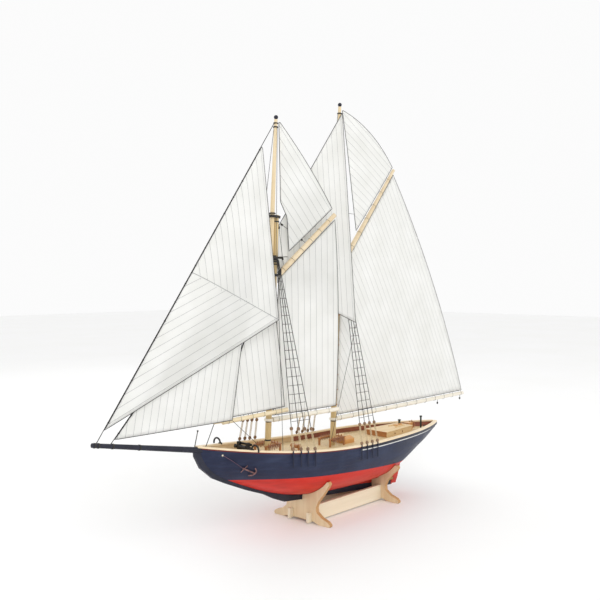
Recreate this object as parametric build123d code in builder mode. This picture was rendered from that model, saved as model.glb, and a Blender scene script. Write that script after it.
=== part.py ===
"""A two-masted gaff schooner model on its slotted wooden stand.

Frame, in millimetres: +X aft, +Y starboard, +Z up. The origin is under the middle of the
model, on the table that the stand's feet rest on.
"""

from build123d import *
import math
import os

os.makedirs("parts", exist_ok=True)

# ---------------------------------------------------------------- driving dimensions
hull_bow_x = -229.0
hull_length = 510.0
half_beam = 58.8
sheer_low = 98.4
bow_rise = 29.3
stern_drop = 6.4
sheer_low_share = 0.607
plank = 2.6
deck_drop = 7.0
deck_thickness = 2.0
rail_thickness = 2.0
rail_overhang = 1.2
rail_inboard = 4.6
moulding_height = 3.8
waterline_z = 66.9
waterline_slope = -0.0747
keel_thickness = 4.4
spine_thickness = 4.0
spine_top = 72.0
frame_thickness = 3.0
fit = 0.15
weld = 0.01

cradle_fore_x = -42.0
cradle_aft_x = 112.0
cradle_thickness = 6.0
foot_half_width = 50.0
board_y = 17.0
board_thickness = 4.4
board_height = 21.0
board_low = 1.5
tab_height = 13.0
tab_reach = 6.0

fore_mast_x = -109.0
fore_mast_deck_z = 110.0
fore_rake = 0.055
main_mast_x = 21.0
main_mast_deck_z = 92.0
main_rake = 0.0467
mast_radius = 4.0
masthead_taper = 0.7
masthead_radius = mast_radius - masthead_taper
topmast_radius = 3.2
topmast_head_radius = 2.2
topmast_offset = 7.4
fore_hounds = 246.0
fore_cap = 296.0
fore_truck_height = 423.0
main_hounds = 284.0
main_cap = 334.0
main_truck_height = 477.6
truck_radius = 2.8

bowsprit_tip = (-370.0, 0.0, 152.0)
bowsprit_slope = -0.192
bowsprit_heel_x = -203.0
bowsprit_radius = 3.8
bowsprit_tip_radius = 2.5

cloth = 0.7
seat = 0.35
rope = 0.45
thread = 0.3
fore_swing = 18.0
jumbo_swing = 15.0

shroud_spread = (-4.0, 8.0, 19.0, 31.0)
main_shroud_spread = (-10.0, 2.0, 14.0, 26.0)
deadeye_radius = 2.3
deadeye_thickness = 1.6
deadeye_low = 4.7
deadeye_gap = 25.5
chainplate_length = 18.0
chainplate_stand = 0.7
chainplate_thickness = 0.6
chainplate_width = 1.6
ratline_pitch = 11.0


# ---------------------------------------------------------------- shapes used more than once
def between(points, x):
    """Height of a line of (x, z) points at x."""
    for (x_a, z_a), (x_b, z_b) in zip(points, points[1:]):
        if x <= x_b:
            return z_a + (z_b - z_a) * (x - x_a) / (x_b - x_a)
    return points[-1][1]


def rail_z(x):
    """Height of the top of the planking, the sheer."""
    low_x = hull_bow_x + sheer_low_share * hull_length
    if x < low_x:
        return sheer_low + bow_rise * ((low_x - x) / (sheer_low_share * hull_length)) ** 2
    return sheer_low - stern_drop * ((x - low_x) / ((1 - sheer_low_share) * hull_length)) ** 1.4


def half_breadth(x):
    """Half width of the hull at the rail."""
    share = (x - hull_bow_x) / hull_length
    widest = 0.48
    if share < widest:
        return half_beam * (1 - (1 - max(share, 0) / widest) ** 2.57)
    return half_beam * (1 - 0.925 * ((share - widest) / (1 - widest)) ** 2.4)


stem_line = [(-231.0, 131.0), (-227.5, 117.0), (-220.0, 104.5), (-202.0, 89.5), (-181.0, 79.0)]
bottom_line = [(-147.5, 65.0), (-130.0, 58.7), (-99.0, 47.0), (-55.0, 37.0), (10.0, 30.0)]
quarter_line = [(90.0, 28.0), (125.0, 32.0), (150.0, 40.0), (172.0, 48.0), (186.0, 53.0)]
counter_line = [(219.0, 62.0), (248.0, 70.6), (274.0, 79.0), (283.0, 82.5)]
underside = stem_line + bottom_line + quarter_line + counter_line
stations = [-228.0, -224, -216, -202, -181, -150, -110, -60, 0, 60, 110, 150, 186, 219, 250, 270, 281]
round_mid = 3.0
round_end = 1.35


def section_points(x, inset, top):
    """Half section of the hull from the centre line up to the rail."""
    breadth = max(half_breadth(x), 1.7) - inset
    low = between(underside, x) + inset
    height = rail_z(x) + top - low
    fullness = min(1.0, max(0.0, (x + 225) / 150)) if x < 0 else min(1.0, max(0.0, (300 - x) / 170))
    rise = round_end + (round_mid - round_end) * fullness
    flare = 1.0 - 0.25 * fullness if x < 0 else 0.75 - 0.1 * (1 - fullness)
    shares = (0.0, 0.08, 0.2, 0.38, 0.6, 0.82, 1.0)
    return [(breadth * (1 - (1 - q) ** rise) ** flare, low + height * q) for q in shares]


def hull_form(inset=0.0, top=0.0, used=stations):
    """The hull as one solid, shrunk by inset on its sides and underside."""
    with BuildPart() as form:
        for x in used:
            points = section_points(x, inset, top)
            mirrored = [(-y, z) for y, z in points]
            with BuildSketch(Plane.YZ.offset(x)):
                with BuildLine():
                    Spline(*points)
                    Spline(*mirrored)
                    Line(points[-1], mirrored[-1])
                make_face()
        loft()
    return form.part


def sheer_band(low, high, x_start=-260.0, x_end=300.0):
    """A slab between two heights above the rail, following the sheer."""
    steps = [x_start + (x_end - x_start) * i / 14 for i in range(15)]
    with BuildPart() as band:
        with BuildSketch(Plane.XZ):
            with BuildLine():
                top = Spline(*[(x, rail_z(x) + high) for x in steps])
                bottom = Spline(*[(x, rail_z(x) + low) for x in steps])
                Line(top @ 0, bottom @ 0)
                Line(top @ 1, bottom @ 1)
            make_face()
        extrude(amount=1.5 * half_beam, both=True)
    return band.part


def plan_slab(offset, x_start, x_end):
    """An upright slab of the hull's outline at the rail, grown by offset."""
    steps = [x_start + (x_end - x_start) * i / 16 for i in range(17)]
    side = [(x, max(half_breadth(x), 1.7) + offset) for x in steps]
    with BuildPart() as slab:
        with BuildSketch(Plane.XY):
            with BuildLine():
                starboard = Spline(*side)
                port = Spline(*[(x, -y) for x, y in side])
                Line(starboard @ 0, port @ 0)
                Line(starboard @ 1, port @ 1)
            make_face()
        extrude(amount=200)
    return slab.part


def side_plate(points, thickness):
    """A flat upright plate on the centre plane, from its outline in (x, z)."""
    with BuildPart() as plate:
        with BuildSketch(Plane.XZ):
            Polygon(*points, align=None)
        extrude(amount=thickness / 2, both=True)
    return plate.part


def block(x, y, z, length, width, height):
    """A box standing on z, centred on x and y."""
    with BuildPart() as box:
        with BuildSketch(Plane.XY.offset(z)):
            with Locations((x, y)):
                Rectangle(length, width)
        extrude(amount=height)
    return box.part


def spar(start, end, radius, end_radius=None):
    """A round spar or rope that may taper towards its end."""
    heading = Vector(*end) - Vector(*start)
    plane = Plane(origin=start, z_dir=heading)
    with BuildPart() as stick:
        with BuildSketch(plane):
            Circle(radius)
        if end_radius is None:
            extrude(amount=heading.length)
        else:
            with BuildSketch(plane.offset(heading.length)):
                Circle(end_radius)
            loft()
    return stick.part


def ring(centre, heading, inner, outer, height):
    """A collar round a spar, centred on a point of its axis."""
    plane = Plane(origin=centre, z_dir=heading)
    with BuildPart() as collar:
        with BuildSketch(plane):
            Circle(outer)
            Circle(inner, mode=Mode.SUBTRACT)
        extrude(amount=height / 2, both=True)
    return collar.part


def line_of(points, radius):
    """A taut line along straight runs, with a round knuckle where it turns."""
    with BuildPart() as line:
        for start, end in zip(points, points[1:]):
            add(spar(start, end, radius))
        for point in points[1:-1]:
            with Locations(point):
                Sphere(radius)
    return line.part


def swung_plane(foot, head, swing):
    """Plane of a sail that turns about the line from foot to head.

    Its x runs out along the boom, its y up the line, and swing turns it to port.
    """
    up = (Vector(*head) - Vector(*foot)).normalized()
    aft = (Vector(1, 0, 0) - up * up.X).normalized()
    out = aft.rotate(Axis((0, 0, 0), up), -swing)
    return Plane(origin=foot, x_dir=out, z_dir=out.cross(up))


def on(plane, x, y, z=0.0):
    """Row-frame point of a position on a plane."""
    return tuple(plane.from_local_coords((x, y, z)))


def sail(plane, corners, leech=None, leech_bow=0.0):
    """A flat sail of cloth thickness whose side after corner number leech bows outward."""
    with BuildPart() as canvas:
        with BuildSketch(plane):
            with BuildLine():
                for i, start in enumerate(corners):
                    end = corners[(i + 1) % len(corners)]
                    if i == leech:
                        run = Vector(*end) - Vector(*start)
                        bow = Vector(run.Y, -run.X).normalized() * leech_bow
                        middle = (Vector(*start) + Vector(*end)) * 0.5 + bow
                        ThreePointArc(start, middle, end)
                    else:
                        Line(start, end)
            make_face()
        extrude(amount=cloth / 2, both=True)
    return canvas.part


def save(piece, name):
    """Label a finished piece and write its file."""
    piece.label = name
    export_step(piece, f"parts/{name}.step")
    return piece


# ---------------------------------------------------------------- hull
outer_hull = hull_form(0.0, 1.5)
above_rail = sheer_band(0.0, 60.0)
inner_hull = hull_form(plank, 8.0, [x for x in stations if half_breadth(x) - plank > 1.2])
inside = hull_form(plank + fit, 8.0, [x for x in stations if half_breadth(x) - plank > 1.2])
waterline = Plane(origin=(0, 0, waterline_z), z_dir=(-waterline_slope, 0, 1))


def mast_point(foot_x, foot_z, rake, height):
    """Point on a lower mast's axis, height measured along the axis from the deck."""
    share = 1 / math.sqrt(1 + rake * rake)
    return (foot_x + rake * share * height, 0.0, foot_z + share * height)


def fore_point(height):
    return mast_point(fore_mast_x, fore_mast_deck_z, fore_rake, height)


def main_point(height):
    return mast_point(main_mast_x, main_mast_deck_z, main_rake, height)


bowsprit_rise = bowsprit_slope * (bowsprit_heel_x - bowsprit_tip[0])
bowsprit_heel = (bowsprit_heel_x, 0.0, bowsprit_tip[2] + bowsprit_rise)
bowsprit_way = spar(bowsprit_heel, bowsprit_tip, bowsprit_radius + fit, bowsprit_tip_radius + fit)

rudder_foot = (160.0, 0.0, 11.0)
rudder_head = (171.5, 0.0, 60.0)
stock_radius = 1.6
stock_fit = 0.08
rudder_way = spar(rudder_foot, rudder_head, stock_radius + stock_fit)

with BuildPart() as shell:
    add(outer_hull)
    add(inner_hull, mode=Mode.SUBTRACT)
    add(above_rail, mode=Mode.SUBTRACT)
    add(bowsprit_way, mode=Mode.SUBTRACT)
    add(rudder_way, mode=Mode.SUBTRACT)

with BuildPart() as topside_planking:
    add(shell.part)
    split(bisect_by=waterline, keep=Keep.TOP)
save(topside_planking.part, "topside_planking")

with BuildPart() as bottom_planking:
    add(shell.part)
    split(bisect_by=waterline, keep=Keep.BOTTOM)
save(bottom_planking.part, "bottom_planking")

keel_outside = [(-232.4, 126.0), (-231.5, 117.0), (-223.0, 102.0), (-204.0, 86.5), (-182.0, 76.0)]
keel_outside += [(-148.0, 61.5), (-117.0, 50.0), (-99.0, 40.7), (-80.0, 33.0), (-42.0, 28.9)]
keel_outside += [(112.0, 15.0), (157.0, 11.0)]
keel_top = [(157.0, 19.0), (112.0, 23.0), (10.0, 33.0)]
keel_inside = [(-130.0, 66.0), (-181.0, 86.0), (-202.0, 97.0), (-216.0, 110.0), (-224.0, 124.0)]
keel_inside += [(-224.5, 126.0)]

post_gap = stock_radius + 0.3
deadwood_outline = [(10.0, 33.0), (112.0, 23.0), (157.0, 19.0), (rudder_foot[0] + 1.4 - post_gap, 19.0)]
deadwood_outline += [(rudder_head[0] - 2.2 - post_gap, 52.0), (90.0, 60.0), (10.0, 45.0)]
with BuildPart() as deadwood:
    add(side_plate(deadwood_outline, keel_thickness - 0.6))
    add(outer_hull, mode=Mode.SUBTRACT)
save(deadwood.part, "deadwood")

fore_hole = spar(fore_point(-60), fore_point(20), mast_radius + fit)
main_hole = spar(main_point(-60), main_point(20), mast_radius + fit)
with BuildPart() as deck:
    add(inside)
    add(sheer_band(-deck_drop - deck_thickness, -deck_drop), mode=Mode.INTERSECT)
    add(fore_hole, mode=Mode.SUBTRACT)
    add(main_hole, mode=Mode.SUBTRACT)
save(deck.part, "deck")

with BuildPart() as rail_cap:
    add(plan_slab(rail_overhang, -228.0, 281.5))
    add(plan_slab(-rail_inboard, -219.0, 276.0), mode=Mode.SUBTRACT)
    add(sheer_band(0.0, rail_thickness), mode=Mode.INTERSECT)
    add(bowsprit_way, mode=Mode.SUBTRACT)
save(rail_cap.part, "rail_cap")

with BuildPart() as keel_and_stem:
    add(side_plate(keel_outside + keel_top + keel_inside, keel_thickness))
    add(outer_hull, mode=Mode.SUBTRACT)
    add(rail_cap.part, mode=Mode.SUBTRACT)
    add(bowsprit_way, mode=Mode.SUBTRACT)
save(keel_and_stem.part, "keel_and_stem")

with BuildPart() as quarter_mouldings:
    add(plan_slab(rail_overhang, 12.0, 281.5))
    add(sheer_band(-moulding_height, 0.0), mode=Mode.INTERSECT)
    add(outer_hull, mode=Mode.SUBTRACT)
save(quarter_mouldings.part, "quarter_mouldings")

spine_outline = [(-196.0, 70.0), (172.0, 20.0), (172.0, spine_top), (-196.0, spine_top + 20)]
with BuildPart() as keel_spine:
    add(inside)
    add(side_plate(spine_outline, spine_thickness), mode=Mode.INTERSECT)
    add(rudder_way, mode=Mode.SUBTRACT)
save(keel_spine.part, "keel_spine")

below_deck = sheer_band(-160.0, -deck_drop - deck_thickness)
with BuildPart() as bulkheads:
    for frame_x in (-160.0, -85.0, -30.0, 45.0, 100.0, 150.0, 205.0):
        add(block(frame_x, 0, 0, frame_thickness, 2 * half_beam, 140))
    add(inside, mode=Mode.INTERSECT)
    add(below_deck, mode=Mode.INTERSECT)
    add(side_plate(spine_outline, spine_thickness + 2 * fit), mode=Mode.SUBTRACT)
save(bulkheads.part, "bulkheads")


# ---------------------------------------------------------------- rudder
blade_outline = [(161.6, 12.2), (171.0, 11.2), (176.0, 20.0), (182.0, 35.4), (184.6, 49.0)]
blade_outline += [(181.0, 49.4), (169.0, 44.5)]
blade_thickness = 2.6
gudgeon_heights = (9.0, 26.0)
gudgeon_height = 2.4
gudgeon_wall = 1.0
rudder_axis = Vector(*rudder_head) - Vector(*rudder_foot)
rudder_up = rudder_axis.normalized()


def rudder_point(height):
    """Point on the rudder's axis, above its foot."""
    return tuple(Vector(*rudder_foot) + rudder_up * height)


with BuildPart() as rudder:
    add(side_plate(blade_outline, blade_thickness))
    for height in gudgeon_heights:
        notch = spar(rudder_point(height - 2.0), rudder_point(height + 2.0), stock_radius + 2.2)
        add(notch, mode=Mode.SUBTRACT)
    add(spar(rudder_foot, rudder_head, stock_radius))
save(rudder.part, "rudder")

with BuildPart() as rudder_gudgeons:
    for height in gudgeon_heights:
        centre = rudder_point(height)
        add(ring(centre, rudder_up, stock_radius + stock_fit, stock_radius + gudgeon_wall, gudgeon_height))
        for side in (-1, 1):
            strap_y = side * (keel_thickness / 2 + gudgeon_wall / 2 - 0.2)
            low = centre[2] - gudgeon_height / 2
            add(block(centre[0] - 6.0, strap_y, low, 11.0, 0.8, gudgeon_height))
    add(spar(rudder_foot, rudder_head, stock_radius + stock_fit), mode=Mode.SUBTRACT)
    add(deadwood.part, mode=Mode.SUBTRACT)
    add(keel_and_stem.part, mode=Mode.SUBTRACT)
    add(outer_hull, mode=Mode.SUBTRACT)
save(rudder_gudgeons.part, "rudder_gudgeons")


# ---------------------------------------------------------------- stand
def cradle(x, keel_z, arm_z):
    """A yoke-shaped plate with feet, a waist, two arms and a notch for the keel."""
    half = [(0, 3.0), (22, 3.0), (32, 0), (foot_half_width, 0), (foot_half_width + 1, 3.0)]
    half += [(foot_half_width - 3, 6.5), (36, 10.0), (27.5, 16.0), (26.5, 22.0), (30, 30.0), (39, 41.0)]
    half += [(foot_half_width - 3, arm_z - 6), (foot_half_width, arm_z - 1), (foot_half_width - 2, arm_z + 2)]
    half += [(foot_half_width - 6, arm_z + 1.5), (30, arm_z - 7), (12, keel_z + 16), (0, keel_z + 14)]
    with BuildPart() as plate:
        with BuildSketch(Plane.YZ.offset(x - cradle_thickness / 2)):
            Polygon(*half, align=None)
            mirror(about=Plane.YZ)
        extrude(amount=cradle_thickness)
        corners = plate.edges().filter_by(Axis.X).filter_by(lambda e: abs(e.center().Y) > 26)
        fillet(corners, 1.2)
        add(clearance_hull, mode=Mode.SUBTRACT)
        add(block(x, 0, keel_z, 20, keel_thickness + 2 * fit, 20), mode=Mode.SUBTRACT)
        add(keel_and_stem.part, mode=Mode.SUBTRACT)
        for side in (-1, 1):
            slot = block(x, side * board_y, board_low - 5, 20, board_thickness + 2 * fit, tab_height + 5 + fit)
            add(slot, mode=Mode.SUBTRACT)
    return plate.part


def board(side):
    """A board on edge between the cradles, with a tab through each."""
    span = cradle_aft_x - cradle_fore_x
    middle = (cradle_aft_x + cradle_fore_x) / 2
    with BuildPart() as plank_on_edge:
        add(block(middle, side * board_y, board_low, span - cradle_thickness, board_thickness, board_height))
        tabs = block(middle, side * board_y, board_low, span + cradle_thickness + 2 * tab_reach,
                     board_thickness, tab_height)
        add(tabs)
    return plank_on_edge.part


clearance_hull = hull_form(-0.3)
keel_line = [(-42.0, 28.9), (112.0, 15.0)]
save(cradle(cradle_fore_x, between(keel_line, cradle_fore_x), 58.0), "cradle_fore")
save(cradle(cradle_aft_x, between(keel_line, cradle_aft_x), 53.0), "cradle_aft")
save(Compound(children=[board(-1), board(1)]), "stand_boards")


# ---------------------------------------------------------------- masts and bowsprit
with BuildPart() as bowsprit:
    add(spar(bowsprit_heel, bowsprit_tip, bowsprit_radius, bowsprit_tip_radius))
save(bowsprit.part, "bowsprit")


def step_height(foot_x, foot_z, rake):
    """Height along a mast where it stands on the spine."""
    top = between([spine_outline[3], spine_outline[2]], foot_x)
    return (top - foot_z) * math.sqrt(1 + rake * rake) + 0.3


def lower_mast(point, foot_x, foot_z, rake, cap):
    """A lower mast from the spine to just above the cap."""
    with BuildPart() as mast:
        heel = point(step_height(foot_x, foot_z, rake))
        add(spar(heel, point(cap * 0.55), mast_radius))
        add(spar(point(cap * 0.55), point(cap + 4), mast_radius, masthead_radius))
    return mast.part


def top_mast(point, hounds, truck):
    """A topmast ahead of the lower masthead, with its heel on the crosstrees."""
    up = (point(1)[0] - point(0)[0], 0, point(1)[2] - point(0)[2])
    ahead = (-topmast_offset * up[2], 0, topmast_offset * up[0])
    start = Vector(*point(hounds + 0.5)) + Vector(*ahead)
    end = Vector(*point(truck)) + Vector(*ahead)
    return spar(tuple(start), tuple(end), topmast_radius, topmast_head_radius), tuple(end), up


def round_truck(end, up):
    """A ball on a short peg over the mast's end."""
    centre = Vector(*end) + Vector(*up) * (truck_radius + 0.1)
    with BuildPart() as ball:
        with Locations(tuple(centre)):
            Sphere(truck_radius)
        add(spar(end, tuple(centre), topmast_head_radius * 0.8))
    return ball.part


def crosstrees(point, rake, hounds, cap):
    """Trestle trees, two crossbars and the cap that hold the topmast to the masthead."""
    plane = Plane(origin=point(hounds), x_dir=(1, 0, -rake), z_dir=(rake, 0, 1))
    rest = mast_radius + 1.4
    with BuildPart() as trees:
        for y in (-rest, rest):
            with BuildSketch(plane.offset(-2.6)):
                with Locations((-4.0, y)):
                    Rectangle(25, 1.6)
            extrude(amount=2.2)
        with BuildSketch(plane.offset(-0.4)):
            with Locations((topmast_offset * -1, 0)):
                Rectangle(topmast_radius * 2, 2 * rest + 2)
            with Locations((-topmast_offset - 5.6, 0), (6.4, 0)):
                Rectangle(1.8, 32)
        extrude(amount=0.8)
        with BuildSketch(plane.offset(cap - hounds)):
            with Locations((-topmast_offset / 2, 0)):
                SlotCenterToCenter(topmast_offset, 2 * mast_radius + 3)
        extrude(amount=3)
        mast_hole = spar(point(hounds - 10), point(cap + 10), mast_radius + fit)
        add(mast_hole, mode=Mode.SUBTRACT)
        up = Vector(*point(1)) - Vector(*point(0))
        ahead = Vector(-topmast_offset * up.Z, 0, topmast_offset * up.X)
        start = tuple(Vector(*point(hounds + 0.5)) + ahead)
        end = tuple(Vector(*point(cap + 10)) + ahead)
        add(spar(start, end, topmast_radius + fit), mode=Mode.SUBTRACT)
    return trees.part


fore_top, fore_top_end, fore_up = top_mast(fore_point, fore_hounds, fore_truck_height)
main_top, main_top_end, main_up = top_mast(main_point, main_hounds, main_truck_height)
save(lower_mast(fore_point, fore_mast_x, fore_mast_deck_z, fore_rake, fore_cap), "foremast")
save(lower_mast(main_point, main_mast_x, main_mast_deck_z, main_rake, main_cap), "mainmast")
save(fore_top, "fore_topmast")
save(main_top, "main_topmast")
balls = [round_truck(fore_top_end, fore_up), round_truck(main_top_end, main_up)]
save(Compound(children=balls), "mast_trucks")
trees = [crosstrees(fore_point, fore_rake, fore_hounds, fore_cap)]
trees.append(crosstrees(main_point, main_rake, main_hounds, main_cap))
save(Compound(children=trees), "crosstrees")


# ---------------------------------------------------------------- booms, gaffs and their sails
def ahead_point(point, height):
    """Point on a topmast's axis."""
    up = Vector(*point(1)) - Vector(*point(0))
    return tuple(Vector(*point(height)) + Vector(-topmast_offset * up.Z, 0, topmast_offset * up.X))


def rig_spar(plane, start, end, radius, end_radius, jaw_height):
    """A boom or gaff with a jaw that turns about the mast."""
    clear = mast_radius + fit
    with BuildPart() as piece:
        add(spar(on(plane, *start), on(plane, *end), radius, end_radius))
        add(ring(on(plane, 0, jaw_height), plane.y_dir, clear, clear + 1.5, 3.2))
        add(spar(on(plane, clear + 0.6, jaw_height), on(plane, start[0] + 1, start[1]), 1.5))
        add(spar(on(plane, 0, start[1] - 40), on(plane, 0, start[1] + 40), clear), mode=Mode.SUBTRACT)
    return piece.part


def hoops(plane, heights):
    """Loose hoops round the mast that hold a sail's luff."""
    inner = mast_radius + 0.25
    with BuildPart() as group:
        for height in heights:
            add(ring(on(plane, 0, height), plane.y_dir, inner, inner + 0.8, 1.0))
    return group.part


luff = mast_radius + 1.4
fore_plane = swung_plane(fore_point(0), fore_point(100), fore_swing)
fore_gaff_start = (7.6, 224.0)
fore_gaff_end = (89.0, 308.5)
fore_boom_start = (6.0, 35.0)
fore_boom_end = (106.0, 46.0)
gaff_radius = 3.8
gaff_end_radius = 3.0
boom_radius = 3.3
boom_end_radius = 2.8
save(rig_spar(fore_plane, fore_boom_start, fore_boom_end, boom_radius, boom_end_radius, 35.0), "fore_boom")
save(rig_spar(fore_plane, fore_gaff_start, fore_gaff_end, gaff_radius, gaff_end_radius, 222.0), "fore_gaff")
fore_corners = [(luff + 1.4, 217.6), (luff, 40.5), (101.8, 50.8), (89.5, 302.2)]
save(sail(fore_plane, fore_corners, 2, 4.6), "foresail")
fore_top_corners = [(-1.4, 421.0), (3.6, 346.0), (5.2, 318.0), (15.8, 299.0), (20.5, 254.0), (85.0, 316.5)]
save(sail(fore_plane, fore_top_corners, 5, 3.0), "fore_gaff_topsail")
save(hoops(fore_plane, [56 + 20 * i for i in range(8)]), "fore_mast_hoops")

main_plane = swung_plane(main_point(0), main_point(100), 0)
main_gaff_start = (7.6, 255.0)
main_gaff_end = (125.0, 407.5)
main_boom_start = (6.0, 37.5)
main_boom_end = (346.3, 54.0)
main_gaff_end_radius = 2.4
save(rig_spar(main_plane, main_boom_start, main_boom_end, boom_radius, boom_end_radius, 37.5), "main_boom")
save(rig_spar(main_plane, main_gaff_start, main_gaff_end, gaff_radius, main_gaff_end_radius, 253.0), "main_gaff")
main_corners = [(luff + 1.4, 246.0), (luff, 43.0), (342.5, 59.0), (124.5, 401.0)]
save(sail(main_plane, main_corners, 2, 14.0), "mainsail")
main_top_corners = [(-1.6, 474.0), (11.4, 425.0), (38.0, 306.0), (122.0, 412.0)]
save(sail(main_plane, main_top_corners, 3, 11.0), "main_gaff_topsail")
save(hoops(main_plane, [58 + 21 * i for i in range(9)]), "main_mast_hoops")

# ---------------------------------------------------------------- stays and headsails
forestay_foot = (-213.0, 0.0, 127.6)
forestay_head = (-101.0, 0.0, 345.4)
jumbo_plane = swung_plane(forestay_foot, forestay_head, jumbo_swing)
edge = rope + seat
jumbo_corners = [(edge, 234.0), (edge, 32.5), (86.4, 83.5)]
save(sail(jumbo_plane, jumbo_corners, 2, 5.0), "jumbo_staysail")
jumbo_boom_start = (10.0, 33.2)
jumbo_boom_end = (92.0, 81.6)
with BuildPart() as jumbo_boom:
    add(spar(on(jumbo_plane, *jumbo_boom_start), on(jumbo_plane, *jumbo_boom_end), 2.9, 2.6))
    add(spar(on(jumbo_plane, 1.2, 28.5), on(jumbo_plane, 11.0, 33.8), 0.9))
    add(ring(on(jumbo_plane, 0, 28.5), jumbo_plane.y_dir, rope + fit, rope + fit + 1.0, 2.2))
    add(spar(forestay_foot, forestay_head, rope + fit), mode=Mode.SUBTRACT)
save(jumbo_boom.part, "jumbo_boom")

jib_stay_foot = (-345.2, 0.0, 151.6)
jib_stay_head = tuple(Vector(*ahead_point(fore_point, fore_cap + 5.4)) - Vector(topmast_radius + 0.6, 0, 0))
jib_plane = swung_plane(jib_stay_foot, jib_stay_head, 7.4)
save(sail(jib_plane, [(edge, 312.0), (edge, 4.0), (115.6, 113.0)]), "jib")
outer_stay_foot = (-364.0, 0.0, 154.2)
outer_stay_head = tuple(Vector(*ahead_point(fore_point, 418)) - Vector(topmast_head_radius + 0.6, 0, 0))
jib_topsail_plane = swung_plane(outer_stay_foot, outer_stay_head, 8.2)
save(sail(jib_topsail_plane, [(edge, 420.0), (edge, 15.0), (139.0, 247.0)]), "jib_topsail")

stay_tail = 4.8


def stay(foot, head):
    """A head stay whose tail runs on below its foot into the bowsprit."""
    run = (Vector(*head) - Vector(*foot)).normalized()
    return spar(tuple(Vector(*foot) - run * stay_tail), head, rope)


with BuildPart() as headstays:
    up = Vector(*fore_point(1)) - Vector(*fore_point(0))
    add(stay(outer_stay_foot, outer_stay_head))
    top = ahead_point(fore_point, 418)
    add(ring(top, up, topmast_head_radius + 0.2, topmast_head_radius + 1.0, 1.4))
    add(stay(jib_stay_foot, jib_stay_head))
    add(ring(ahead_point(fore_point, fore_cap + 5.4), up, topmast_radius + fit, topmast_radius + 1.0, 1.4))
    add(stay(forestay_foot, forestay_head))
    add(ring(fore_point(236.0), up, mast_radius + fit, mast_radius + 1.0, 1.4))
    add(bowsprit.part, mode=Mode.SUBTRACT)
    add(keel_and_stem.part, mode=Mode.SUBTRACT)
    add(rail_cap.part, mode=Mode.SUBTRACT)

fish_luff_x = -85.0
fish_leech_x = 35.0
fish_luff = [(5.0, 322.0), (5.0, 394.0)]
fish_leech = [(-30.0, 266.0), (-5.4, 560.0)]
with BuildPart() as fisherman_staysail:
    for x, (foot, head) in ((fish_luff_x, fish_luff), (fish_leech_x, fish_leech)):
        with BuildSketch(Plane.YZ.offset(x)):
            half = cloth / 2
            Polygon((foot[0] - half, foot[1]), (foot[0] + half, foot[1]), (head[0] + half, head[1]),
                    (head[0] - half, head[1]), align=None)
    loft(ruled=True)
save(fisherman_staysail.part, "fisherman_staysail")


# ---------------------------------------------------------------- shrouds, deadeyes, chainplates
def shroud_feet(foot_x, spread, side):
    """Where each lower deadeye stands at the rail."""
    reach = rail_overhang + chainplate_stand
    return [(foot_x + dx, side * (half_breadth(foot_x + dx) + reach), rail_z(foot_x + dx)) for dx in spread]


def upper_deadeye(foot, head):
    """Centre of the upper deadeye on the line from the rail to the hounds."""
    run = (Vector(*head) - Vector(*foot)).normalized()
    return tuple(Vector(*foot) + run * (deadeye_low + deadeye_gap))


def lower_deadeye(foot, head):
    run = (Vector(*head) - Vector(*foot)).normalized()
    return tuple(Vector(*foot) + run * deadeye_low)


def shroud_net(feet, point, hounds, side, level):
    """Four shrouds with their ratlines, seized to one collar at the masthead."""
    collar_centre = Vector(*point(hounds - level))
    heads = [collar_centre + Vector(-1.5 + i, side * (mast_radius + 1.4), 0) for i in range(4)]
    up = Vector(*point(1)) - Vector(*point(0))
    lines = []
    with BuildPart() as net:
        for foot, head in zip(feet, heads):
            run = (head - Vector(*foot)).normalized()
            start = Vector(*upper_deadeye(foot, tuple(head))) + run * (deadeye_radius + 0.1)
            lines.append((start, head))
            add(spar(tuple(start), tuple(head), rope))
        add(ring(tuple(collar_centre), up, mast_radius + fit, mast_radius + 1.3, 1.6))
        bottom = max(start.Z for start, head in lines) + 2
        count = int((collar_centre.Z - bottom - 12) / ratline_pitch)
        for i in range(count):
            z = bottom + 4 + ratline_pitch * i
            marks = [start + (head - start) * ((z - start.Z) / (head.Z - start.Z)) for start, head in lines]
            for a, b in zip(marks, marks[1:]):
                add(spar(tuple(a), tuple(b), thread))
    return net.part


def deadeye_group(feet, point, hounds, side, level):
    """Upper and lower deadeyes of one set of shrouds."""
    collar_centre = Vector(*point(hounds - level))
    discs = []
    laces = []
    for i, foot in enumerate(feet):
        head = tuple(collar_centre + Vector(-1.5 + i, side * (mast_radius + 1.4), 0))
        run = (Vector(*head) - Vector(*foot)).normalized()
        across = Vector(0, run.Z, -run.Y).normalized()
        pair = [Vector(*lower_deadeye(foot, head)), Vector(*upper_deadeye(foot, head))]
        for centre in pair:
            half = across * (deadeye_thickness / 2)
            discs.append(spar(tuple(centre - half), tuple(centre + half), deadeye_radius))
        for shift in (-1.3, 0.0, 1.3):
            inset = math.sqrt(deadeye_radius ** 2 - shift ** 2) + 0.25
            start = pair[0] + run * inset + Vector(shift, 0, 0)
            end = pair[1] - run * inset + Vector(shift, 0, 0)
            laces.append(spar(tuple(start), tuple(end), thread))
    return discs, laces


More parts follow.
